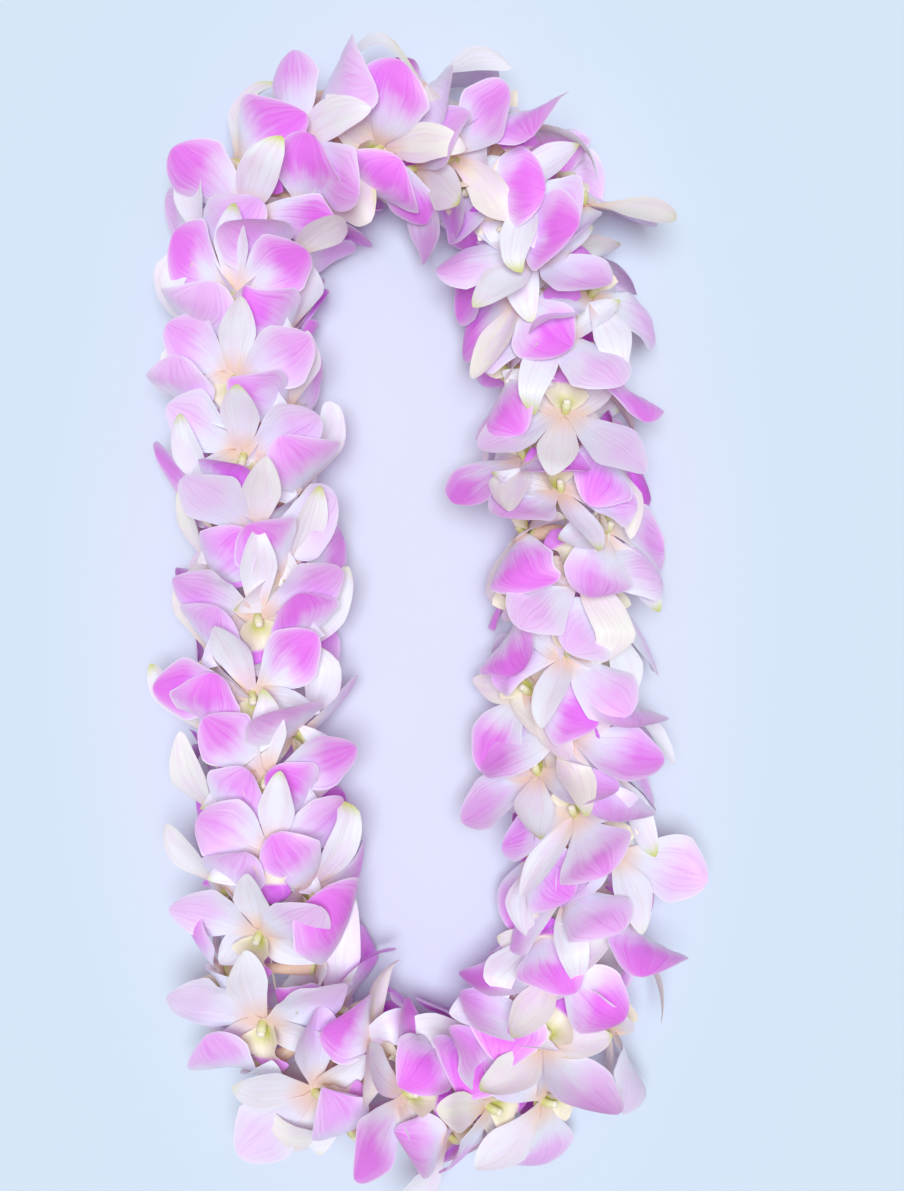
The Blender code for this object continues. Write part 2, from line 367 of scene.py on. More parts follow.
@dataclass(frozen=True)
class Veins:
    """Fine veins that fan out with their sheet; the count is about how many run side by side."""

    count: float
    swells: tuple[float, float] = (3.0, 2.2)
    wander_scale: float = 1.4
    wander_reach: float = 0.10
    stretch: float = 1.3
    detail: float = 3.0
    roughness: float = 0.62
    rise: Ramp = (0.50, 0.66)

    def draw(self, graph: Graph, across: Socket, along: Socket, seed: Value) -> Socket:
        """Draw the veins, from 0 between them to 1 on them.

        Args:
            graph: The material.
            across: How far across the sheet a spot is.
            along: How far along it is.
            seed: A value that is another one on each blossom.

        Returns:
            The veins' strength.
        """
        wide, long = self.swells
        broad = graph.join(graph.sum("MULTIPLY", across, wide), graph.sum("MULTIPLY", along, long), seed)
        wander = graph.sum("SUBTRACT", graph.noise(broad, self.wander_scale), 0.5)
        bent = graph.sum("ADD", across, graph.sum("MULTIPLY", wander, self.wander_reach))
        strands = graph.sum("MULTIPLY", bent, self.count)
        lines = graph.join(strands, graph.sum("MULTIPLY", along, self.stretch), seed)
        return graph.fade(graph.noise(lines, 1.0, self.detail, self.roughness), *self.rise)


def from_middle(graph: Graph, across: Socket) -> Socket:
    """Turn how far across a sheet a spot is into how far it is from the middle, from 0 to 1 at the edges."""
    return graph.sum("ABSOLUTE", graph.sum("MULTIPLY_ADD", across, 2.0, -1.0))


@dataclass(frozen=True)
class PetalFinish:
    """The two broad petals: peach claws as painted warm shade, flushed lilac to magenta outward, veined."""

    flesh: Flesh = Flesh()
    # The claw's peach is painted warm shade for the gaps round the heart, over petals that are white there.
    claw: Colour = tint(0.965, 0.855, 0.78)
    white: Colour = tint(0.935, 0.945, 0.985)
    lilac: Colour = tint(0.95, 0.82, 0.98)
    magenta: Colour = tint(0.935, 0.49, 0.945)
    vein: Colour = tint(0.88, 0.34, 0.89)
    # The rim colour is a painted highlight along the petal's edges and tip, where they catch light.
    rim: Colour = tint(0.96, 0.93, 0.985)
    veins: Veins = Veins(count=17.0)
    vein_strength: float = 0.30
    vein_rise: Ramp = (0.05, 0.75)
    vein_depth: float = 0.6
    streak_count: float = 30.0
    streak_strength: float = 0.50
    cloud_scale: float = 2.6
    cloud_reach: float = 0.44
    wash_rise: Ramp = (0.10, 0.62)
    wash_fall: Ramp = (1.35, 0.80)
    edge_fading: float = 0.50
    claw_shade_fade: Ramp = (0.26, 0.03)
    lilac_rise: Ramp = (0.0, 0.50)
    magenta_rise: Ramp = (0.30, 1.0)
    edge_highlight: Ramp = (0.93, 0.99)
    tip_highlight: Ramp = (0.972, 0.995)
    highlight_strength: float = 0.80
    relief: float = 0.35 * MILLIMETRE
    relief_strength: float = 0.5

    def material(self) -> bpy.types.Material:
        """Make the petals' material.

        Returns:
            The material.
        """
        graph = Graph("petal")
        self.flesh.lay(graph)
        across, along = graph.sheet()
        blush, seed = graph.own("blush"), graph.own("seed")
        aside = from_middle(graph, across)
        cloud = graph.noise(graph.join(across, along, seed), self.cloud_scale)
        start = graph.sum("ADD", along, -0.5 * self.cloud_reach)
        reach = graph.sum("MULTIPLY_ADD", cloud, self.cloud_reach, start)
        wash = graph.sum("MULTIPLY", graph.fade(reach, *self.wash_rise), graph.fade(along, *self.wash_fall))
        inward = graph.sum("MULTIPLY_ADD", graph.sum("MULTIPLY", aside, aside), -self.edge_fading, 1.0)
        strands = graph.join(graph.sum("MULTIPLY", across, self.streak_count), along, seed)
        streaks = graph.noise(strands, 1.0)
        brushed = graph.sum("MULTIPLY_ADD", streaks, self.streak_strength, 1.0 - 0.5 * self.streak_strength)
        flush = graph.sum("MULTIPLY", graph.sum("MULTIPLY", wash, inward), brushed)
        flush = graph.sum("MULTIPLY", flush, blush)
        lines = self.veins.draw(graph, across, along, seed)
        # Painted warm shade: each petal turns peach toward its claw.
        pale = graph.mix(graph.fade(along, *self.claw_shade_fade), self.white, self.claw)
        pink = graph.mix(graph.fade(flush, *self.lilac_rise), pale, self.lilac)
        deep = graph.mix(graph.fade(flush, *self.magenta_rise), pink, self.magenta)
        strength = graph.sum("MULTIPLY", graph.fade(flush, *self.vein_rise), self.vein_strength)
        lined = graph.mix(graph.sum("MULTIPLY", lines, strength), deep, self.vein)
        # Painted highlight: the edges and the tip are lightened.
        edge = graph.sum("MAXIMUM", graph.fade(aside, *self.edge_highlight), graph.fade(along, *self.tip_highlight))
        highlighted = graph.mix(graph.sum("MULTIPLY", edge, self.highlight_strength), lined, self.rim)
        graph.feed(graph.shader.inputs["Base Color"], highlighted)
        height = graph.sum("ADD", graph.sum("MULTIPLY", lines, -self.vein_depth), cloud)
        graph.bump(height, self.relief, self.relief_strength)
        return graph.material


@dataclass(frozen=True)
class SepalFinish:
    """The narrow sepals: white to cream with a faint flush, long fine lines and a greenish tip."""

    flesh: Flesh = Flesh()
    # The base's peach is painted warm shade for the gaps round the heart.
    warm_base_shade: Colour = tint(0.965, 0.85, 0.74)
    white: Colour = tint(0.955, 0.965, 0.99)
    cream: Colour = tint(0.965, 0.948, 0.905)
    flush: Colour = tint(0.95, 0.86, 0.955)
    green: Colour = tint(0.84, 0.87, 0.46)
    brown: Colour = tint(0.55, 0.45, 0.25)
    line: Colour = tint(0.92, 0.86, 0.84)
    lines: Veins = Veins(count=11.0)
    line_strength: float = 0.30
    line_depth: float = 0.5
    cloud_scale: float = 2.2
    lots: float = 3.7
    cream_lots: Ramp = (0.45, 0.95)
    base_shade_fade: Ramp = (0.30, 0.03)
    flush_rise: Ramp = (0.38, 0.70)
    flush_strength: float = 0.75
    green_along: Ramp = (0.70, 0.97)
    green_ripe: Ramp = (0.35, 0.9)
    brown_along: Ramp = (0.965, 0.995)
    brown_ripe: Ramp = (0.72, 0.95)
    relief: float = 0.35 * MILLIMETRE
    relief_strength: float = 0.5

    def material(self) -> bpy.types.Material:
        """Make the sepals' material.

        Returns:
            The material.
        """
        graph = Graph("sepal")
        self.flesh.lay(graph)
        across, along = graph.sheet()
        blush, seed, ripe = graph.own("blush"), graph.own("seed"), graph.own("ripe")
        cloud = graph.noise(graph.join(across, along, seed), self.cloud_scale)
        lines = self.lines.draw(graph, across, along, seed)
        lot = graph.sum("FRACT", graph.sum("MULTIPLY", seed, self.lots))
        skin = graph.mix(graph.fade(lot, *self.cream_lots), self.white, self.cream)
        # Painted warm shade: each sepal turns peach toward its base.
        body = graph.mix(graph.fade(along, *self.base_shade_fade), skin, self.warm_base_shade)
        clouded = graph.fade(cloud, *self.flush_rise)
        pinkness = graph.sum("MULTIPLY", clouded, graph.sum("MULTIPLY", blush, self.flush_strength))
        pinked = graph.mix(pinkness, body, self.flush)
        lined = graph.mix(graph.sum("MULTIPLY", lines, self.line_strength), pinked, self.line)
        tip = graph.sum("MULTIPLY", graph.fade(along, *self.green_along), graph.fade(ripe, *self.green_ripe))
        tipped = graph.mix(tip, lined, self.green)
        browned = graph.fade(ripe, *self.brown_ripe)
        point = graph.sum("MULTIPLY", graph.fade(along, *self.brown_along), browned)
        graph.feed(graph.shader.inputs["Base Color"], graph.mix(point, tipped, self.brown))
        height = graph.sum("ADD", graph.sum("MULTIPLY", lines, -self.line_depth), cloud)
        graph.bump(height, self.relief, self.relief_strength)
        return graph.material


@dataclass(frozen=True)
class LipFinish:
    """The lip: a yellow-green throat, cream side lobes and a magenta front lobe with paler veins."""

    flesh: Flesh = Flesh()
    throat: Colour = tint(0.78, 0.78, 0.36)
    cream: Colour = tint(0.965, 0.93, 0.84)
    magenta: Colour = tint(0.88, 0.46, 0.93)
    deep: Colour = tint(0.80, 0.26, 0.84)
    pale: Colour = tint(0.94, 0.66, 0.95)
    veins: Veins = Veins(count=9.0)
    vein_strength: float = 0.35
    throat_along: Ramp = (0.44, 0.10)
    throat_aside: Ramp = (0.95, 0.15)
    deep_aside: Ramp = (0.60, 0.0)
    deep_along: Ramp = (0.95, 0.55)
    pale_blush: Ramp = (0.75, 0.15)
    front_start: Ramp = (0.50, 0.60)
    relief: float = 0.3 * MILLIMETRE
    relief_strength: float = 0.4

    def material(self) -> bpy.types.Material:
        """Make the lip's material.

        Returns:
            The material.
        """
        graph = Graph("lip")
        self.flesh.lay(graph)
        across, along = graph.sheet()
        blush, seed = graph.own("blush"), graph.own("seed")
        aside = from_middle(graph, across)
        lines = self.veins.draw(graph, across, along, seed)
        behind = graph.fade(along, *self.throat_along)
        inmost = graph.sum("MULTIPLY", behind, graph.fade(aside, *self.throat_aside))
        lobes = graph.mix(inmost, self.cream, self.throat)
        between = graph.fade(aside, *self.deep_aside)
        middle = graph.sum("MULTIPLY", between, graph.fade(along, *self.deep_along))
        heart = graph.mix(middle, self.magenta, self.deep)
        veined = graph.mix(graph.sum("MULTIPLY", lines, self.vein_strength), heart, self.pale)
        softened = graph.mix(graph.fade(blush, *self.pale_blush), veined, self.pale)
        front = graph.fade(along, *self.front_start)
        graph.feed(graph.shader.inputs["Base Color"], graph.mix(front, lobes, softened))
        graph.bump(lines, self.relief, self.relief_strength)
        return graph.material


@dataclass(frozen=True)
class HeartFinish:
    """The chin, the column and its cap: peach cream below, yellow-green at the throat, pale at the cap."""

    flesh: Flesh = Flesh(roughness=0.40)
    # The chin's cream is its own colour; the peach in it is painted warm shade for the gaps between blossoms.
    chin: Colour = tint(0.955, 0.80, 0.69)
    green: Colour = tint(0.80, 0.80, 0.44)
    pale: Colour = tint(0.955, 0.94, 0.85)
    green_rise: Ramp = (-0.15, 0.0)
    pale_rise: Ramp = (0.25, 0.85)
    cloud_scale: float = 380.0
    cloud_detail: float = 3.0
    cloud_strength: float = 0.25
    relief: float = 0.2 * MILLIMETRE
    relief_strength: float = 0.4

    def material(self) -> bpy.types.Material:
        """Make the material of a blossom's heart.

        Returns:
            The material.
        """
        graph = Graph("heart")
        self.flesh.lay(graph)
        rise = graph.own("rise")
        cloud = graph.noise(graph.place(), self.cloud_scale, self.cloud_detail)
        low = graph.mix(graph.fade(rise, *self.green_rise), self.chin, self.green)
        high = graph.mix(graph.fade(rise, *self.pale_rise), low, self.pale)
        clouded = graph.mix(graph.sum("MULTIPLY", cloud, self.cloud_strength), high, self.pale)
        graph.feed(graph.shader.inputs["Base Color"], clouded)
        graph.bump(cloud, self.relief, self.relief_strength)
        return graph.material


@dataclass(frozen=True)
class ThreadFinish:
    """Undyed cotton thread, matt and a little fuzzy."""

    cotton: Colour = tint(0.93, 0.92, 0.86)
    shade: Colour = tint(0.80, 0.77, 0.68)
    fibre_scale: float = 2600.0
    fibre_detail: float = 3.0
    roughness: float = 0.9
    sheen: float = 0.3
    relief: float = 0.08 * MILLIMETRE
    relief_strength: float = 0.6

    def material(self) -> bpy.types.Material:
        """Make the thread's material.

        Returns:
            The material.
        """
        graph = Graph("thread")
        graph.shader.inputs["Roughness"].default_value = self.roughness
        graph.shader.inputs["Sheen Weight"].default_value = self.sheen
        fibres = graph.noise(graph.place(), self.fibre_scale, self.fibre_detail)
        graph.feed(graph.shader.inputs["Base Color"], graph.mix(fibres, self.shade, self.cotton))
        graph.bump(fibres, self.relief, self.relief_strength)
        return graph.material


@dataclass(frozen=True)
class FloorFinish:
    """The plain pale surface under the lei, with painted warmer bounce light inside the loop."""

    colour: Colour = tint(0.811, 0.875, 0.924)
    loop_bounce_light: Colour = tint(0.872, 0.882, 0.940)
    bounce_light_shape: tuple[float, float] = (1.0 / 0.14, 1.0 / 0.27)
    bounce_light_fade: Ramp = (1.6, 0.1)
    roughness: float = 0.7
    specular: float = 0.15

    def material(self) -> bpy.types.Material:
        """Make the floor's material.

        Returns:
            The material.
        """
        graph = Graph("floor")
        graph.shader.inputs["Roughness"].default_value = self.roughness
        graph.shader.inputs["Specular IOR Level"].default_value = self.specular
        apart = graph.nodes.new("ShaderNodeSeparateXYZ")
        graph.links.new(graph.place(), apart.inputs[0])
        reaches = [graph.sum("MULTIPLY", apart.outputs[axis], self.bounce_light_shape[axis]) for axis in range(2)]
        squares = [graph.sum("MULTIPLY", reach, reach) for reach in reaches]
        inside = graph.fade(graph.sum("ADD", *squares), *self.bounce_light_fade)
        # Painted light: the floor is lighter and warmer inside the loop, as if lit by light bounced off the
        # petals.
        graph.feed(graph.shader.inputs["Base Color"], graph.mix(inside, self.colour, self.loop_bounce_light))
        return graph.material


# ---------------------------------------------------------------------------------------------------
# The blossom
# ---------------------------------------------------------------------------------------------------


class Part(Enum):
    """The parts of a blossom, in the order in which they are numbered at its vertices."""

    DORSAL = 0
    LEFT_PETAL = 1
    LEFT_SEPAL = 2
    LIP = 3
    RIGHT_SEPAL = 4
    RIGHT_PETAL = 5
    HEART = 6


class Habit(Enum):
    """The ways in which a blossom's petals have opened."""

    OPEN = "open"
    CUPPED = "cupped"
    REFLEXED = "reflexed"
    WAVY = "wavy"
    TWISTED = "twisted"


@dataclass(frozen=True)
class Sheet:
    """A petal or sepal: its outline and how it lies.

    Its width rises from the claw as one power of the way along it, the opening, and closes to the tip as
    another, the closing. The more angular it is, the straighter its sides run. The cup is how far its
    edges stand over its middle, as a share of the half width. Angles are in degrees. Positive ones lift it
    out of the face: the pitch does at the claw, the curl all along and the hook toward the tip. The
    sickle, the slant and the uneven waves make its two sides unlike.
    """

    length: float
    half_width: float
    opening: float = 1.05
    closing: float = 0.62
    claw: float = 0.18
    cup: float = 0.10
    pitch: float = 4.0
    curl: float = 6.0
    hook: float = -10.0
    twist: float = 0.0
    slant: float = 0.0
    sickle: float = 0.0
    uneven: float = 0.0
    edge_waves: float = 9.0
    sway_waves: float = 7.0
    sway_share: float = 0.3
    angular: float = 0.0
    ruffle: float = 0.5 * MILLIMETRE
    start: float = 1.2 * MILLIMETRE
    level: float = 0.0
    thickness: float = 0.62 * MILLIMETRE
    columns: int = 12
    rows: int = 16
    crowding: float = 1.45
    end_cup: float = 0.55

    def shares(self) -> np.ndarray:
        """Give how far along each row lies, closer together toward the tip."""
        steps = np.linspace(0.0, 1.0, self.rows + 1)
        return 1.0 - (1.0 - steps) ** self.crowding

    def width_at(self, share: float) -> float:
        """Work out how wide the sheet is at a place along it.

        Args:
            share: The place, from 0 at the claw to 1 at the tip.

        Returns:
            The share of the half width that is reached there.
        """
        widest = self.opening / (self.opening + self.closing)
        full = widest**self.opening * (1.0 - widest) ** self.closing
        smooth = share**self.opening * (1.0 - share) ** self.closing / full
        straight = min(share / widest, (1.0 - share) / (1.0 - widest))
        body = (1.0 - self.angular) * smooth + self.angular * straight
        # The blade's width runs softly into the claw's.
        return (body**3 + (self.claw * (1.0 - share)) ** 3) ** (1.0 / 3.0)

    def cup_at(self, share: float) -> float:
        """Give how far the edges stand over the middle at a place, as a share of the half width there."""
        return self.cup * (self.end_cup + (1.0 - self.end_cup) * math.sin(math.pi * share))


@dataclass(frozen=True)
class Lip(Sheet):
    """The lip: two side lobes that stand up beside the column, a waist and a pointed front lobe."""

    outline: tuple[tuple[float, float], ...] = (
        (0.0, 0.34),
        (0.16, 0.74),
        (0.34, 1.0),
        (0.47, 0.66),
        (0.56, 0.48),
        (0.66, 0.78),
        (0.78, 0.86),
        (0.90, 0.60),
        (0.97, 0.28),
        (1.0, 0.0),
    )
    crowding: float = 1.15
    trough: float = 0.20
    lobe_cup: float = 0.85
    lobe_rise: Ramp = (0.0, 0.2)
    lobe_fall: Ramp = (0.58, 0.42)
    front_fold: float = 0.42
    front_rise: Ramp = (0.55, 0.75)

    def width_at(self, share: float) -> float:
        """Read the share of the half width off the outline."""
        places, widths = zip(*self.outline)
        return float(np.interp(share, places, widths))

    def cup_at(self, share: float) -> float:
        """Stand the side lobes up, and let the front lobe fold back a little.

        Args:
            share: The place, from 0 at the claw to 1 at the tip.

        Returns:
            How far the edges stand over the middle, as a share of the half width there.
        """
        place = np.array(share)
        lobes = float(ease(place, *self.lobe_rise) * ease(place, *self.lobe_fall))
        return self.trough + self.lobe_cup * lobes - self.front_fold * float(ease(place, *self.front_rise))


@dataclass
class SheetModeller:
    """Shapes a petal, sepal or lip by hand out of a flat grid.

    A bow of 2 lifts the edges of the grid as high as they are from its middle, and the cup then scales it.
    At the edges of the sheet the ripples are strongest and the wall is thinnest.
    """

    sheet: Sheet
    name: str
    bow: float = 2.0
    twist_power: float = 1.5
    hook_start: float = 0.62
    ripple_length: float = 9.0 * MILLIMETRE
    ripple_gain: float = 4.0
    ripple_rise: Ramp = (0.0, 0.4)
    middle_ripple: float = 0.25
    wall_fade: Ramp = (1.0, 0.7)
    least_wall: float = 0.16
    near: float = 0.001
    merge_distance: float = 0.02 * MILLIMETRE

    def build(self, bearing: float, part: Part, noise_place: float) -> bpy.types.Object:
        """Model the sheet and lay it at its bearing on the face.

        Args:
            bearing: Where it points, from straight forward, in radians.
            part: Which part of the blossom it is.
            noise_place: Where in the ripples' noise it lies.

        Returns:
            The finished closed sheet.
        """
        sheet = self.sheet
        bpy.ops.mesh.primitive_grid_add(x_subdivisions=sheet.columns, y_subdivisions=sheet.rows, size=1.0)
        thing = bpy.context.object
        thing.name = self.name
        thing.data.uv_layers[0].name = PETAL_MAP
        self.number(thing, part)
        bpy.ops.object.mode_set(mode="EDIT")
        self.bow_columns(thing)
        self.draw_outline(thing, noise_place)
        self.twist_rows(thing)
        self.curl_rows(thing)
        bpy.ops.object.mode_set(mode="OBJECT")
        self.ripple(thing, noise_place)
        self.thicken(thing)
        thing.location = (sheet.start * math.cos(bearing), sheet.start * math.sin(bearing), sheet.level)
        thing.rotation_euler = (0.0, 0.0, bearing - math.pi / 2.0)
        apply_place(thing)
        return thing

    def number(self, thing: bpy.types.Object, part: Part) -> None:
        """Keep at each vertex which part of the blossom it is on, and how far along and across it is.

        Args:
            thing: The flat grid.
            part: The part of the blossom that it becomes.
        """
        count = len(thing.data.vertices)
        places = np.empty(count * 3)
        thing.data.vertices.foreach_get("co", places)
        places = places.reshape(-1, 3)
        rows = np.rint((places[:, 1] + 0.5) * self.sheet.rows).astype(int)
        keep(thing, "part", np.full(count, float(part.value)))
        keep(thing, "along", self.sheet.shares()[rows])
        keep(thing, "across", places[:, 0] * 2.0)
        keep(thing, "rise", np.zeros(count))

    def row(self, index: int) -> Callable[[bmesh.types.BMVert], bool]:
        """Give the test for the vertices of one row."""
        wide = self.sheet.columns + 1
        return lambda vert: vert.index // wide == index

    def onward(self, index: int) -> Callable[[bmesh.types.BMVert], bool]:
        """Give the test for the vertices of one row and all those past it."""
        wide = self.sheet.columns + 1
        return lambda vert: vert.index // wide >= index

    def bow_columns(self, thing: bpy.types.Object) -> None:
        """Lift the outer columns over the middle one, as on a shallow trough.

        Args:
            thing: The grid, in edit mode.
        """
        columns = self.sheet.columns
        for step in range(1, columns // 2 + 1):
            apart = step / columns
            select_verts(thing, lambda vert, apart=apart: abs(abs(vert.co.x) - apart) < self.near)
            bpy.ops.transform.translate(value=(0.0, 0.0, self.bow * apart * apart))

    def draw_outline(self, thing: bpy.types.Object, noise_place: float) -> None:
        """Draw each row to its place along the sheet, its width and its cup.

        Args:
            thing: The grid, in edit mode.
            noise_place: Where in the ripples' noise it lies, which also shifts its unevenness.
        """
        sheet = self.sheet
        phase = FULL_TURN * noise_place
        for index, share in enumerate(sheet.shares().tolist()):
            start = index / sheet.rows - 0.5
            wobble = 1.0 + sheet.uneven * math.sin(sheet.edge_waves * share + phase)
            width = 2.0 * sheet.half_width * sheet.width_at(share) * wobble
            select_verts(thing, self.row(index))
            size = (width, 1.0, width * sheet.cup_at(share))
            bpy.ops.transform.resize(value=size, center_override=(0.0, start, 0.0))
            sway = math.sin(sheet.sway_waves * share + 2.0 * phase)
            sway *= sheet.sway_share * sheet.uneven * sheet.half_width
            aside = sheet.sickle * math.sin(math.pi * share) + sway
            bpy.ops.transform.translate(value=(aside, sheet.length * share - start, 0.0))
            slant = math.radians(sheet.slant) * 4.0 * share * (1.0 - share)
            turn(slant, "Z", (aside, sheet.length * share, 0.0))

    def twist_rows(self, thing: bpy.types.Object) -> None:
        """Turn each row about the sheet's length, more and more toward the tip.

        Args:
            thing: The grid, in edit mode.
        """
        sheet = self.sheet
        if sheet.twist:
            for index, share in enumerate(sheet.shares().tolist()):
                select_verts(thing, self.row(index))
                angle = math.radians(sheet.twist) * share**self.twist_power
                turn(angle, "Y", (0.0, sheet.length * share, 0.0))

    def curl_rows(self, thing: bpy.types.Object) -> None:
        """Bend the sheet up or down along its length, row after row, and hook its tip.

        Args:
            thing: The grid, in edit mode.
        """
        sheet = self.sheet
        shares = sheet.shares()
        middle = sheet.columns // 2
        for index in range(sheet.rows):
            bend = sheet.curl * (shares[index + 1] - shares[index])
            bend += sheet.hook * float(np.diff(ease(shares[index : index + 2], self.hook_start, 1.0))[0])
            bend += sheet.pitch if index == 0 else 0.0
            shape = bmesh.from_edit_mesh(thing.data)
            shape.verts.ensure_lookup_table()
            hinge = tuple(shape.verts[index * (sheet.columns + 1) + middle].co)
            select_verts(thing, self.onward(index + 1))
            turn(math.radians(bend), "X", hinge)

    def ripple(self, thing: bpy.types.Object, noise_place: float) -> None:
        """Ripple the sheet softly, more toward its edges.

        Args:
            thing: The shaped sheet.
            noise_place: Where in the ripples' noise it lies.
        """
        edge = thing.vertex_groups.new(name="edge")
        along, across = held(thing, "along"), held(thing, "across")
        outward = (1.0 - self.middle_ripple) * across**2 * (1.0 - along**4)
        weights = ease(along, *self.ripple_rise) * (self.middle_ripple + outward)
        for index, weight in enumerate(weights):
            edge.add([index], float(weight), "REPLACE")
        swell = bpy.data.textures.new("swell", "CLOUDS")
        swell.noise_scale = self.ripple_length
        swell.noise_depth = 1
        thing.location.x = noise_place
        waves = thing.modifiers.new("ripples", "DISPLACE")
        waves.texture = swell
        waves.texture_coords = "GLOBAL"
        waves.direction = "Z"
        waves.mid_level = 0.5
        waves.strength = self.ripple_gain * self.sheet.ruffle
        waves.vertex_group = edge.name
        apply_all(thing)
        bpy.data.textures.remove(swell)

    def thicken(self, thing: bpy.types.Object) -> None:
        """Give the sheet a wall that thins out to its edges, and close it there.

        Args:
            thing: The rippled sheet, still without a thickness.
        """
        body = thing.vertex_groups.new(name="body")
        along, across = held(thing, "along"), held(thing, "across")
        full = np.sqrt(np.clip(1.0 - np.abs(across) ** 3, 0.0, 1.0)) * ease(along, *self.wall_fade)
        rim = (along < self.near) | (along > 1.0 - self.near) | (np.abs(across) > 1.0 - self.near)
        full = np.where(rim, 0.0, np.maximum(full, self.least_wall))
        for index, weight in enumerate(full):
            body.add([index], float(weight), "REPLACE")
        wall = thing.modifiers.new("wall", "SOLIDIFY")
        wall.thickness = self.sheet.thickness
        wall.offset = 0.0
        wall.use_rim = False
        wall.vertex_group = body.name
        wall.thickness_vertex_group = 0.0
        apply_all(thing)
        thing.vertex_groups.clear()
        bpy.ops.object.mode_set(mode="EDIT")
        bpy.ops.mesh.select_all(action="SELECT")
        bpy.ops.mesh.remove_doubles(threshold=self.merge_distance)
        bpy.ops.mesh.normals_make_consistent(inside=False)
        bpy.ops.object.mode_set(mode="OBJECT")


def keep(thing: bpy.types.Object, name: str, values: np.ndarray) -> None:
    """Keep one number at each vertex of an object."""
    layer = thing.data.attributes.get(name) or thing.data.attributes.new(name, "FLOAT", "POINT")
    layer.data.foreach_set("value", np.asarray(values, dtype=np.float32))


def held(thing: bpy.types.Object, name: str) -> np.ndarray:
    """Read the numbers kept at an object's vertices.

    Args:
        thing: The object.
        name: The name that they are kept under.

    Returns:
        One number for each vertex.
    """
    values = np.empty(len(thing.data.vertices), dtype=np.float32)
    thing.data.attributes[name].data.foreach_get("value", values)
    return values.astype(float)


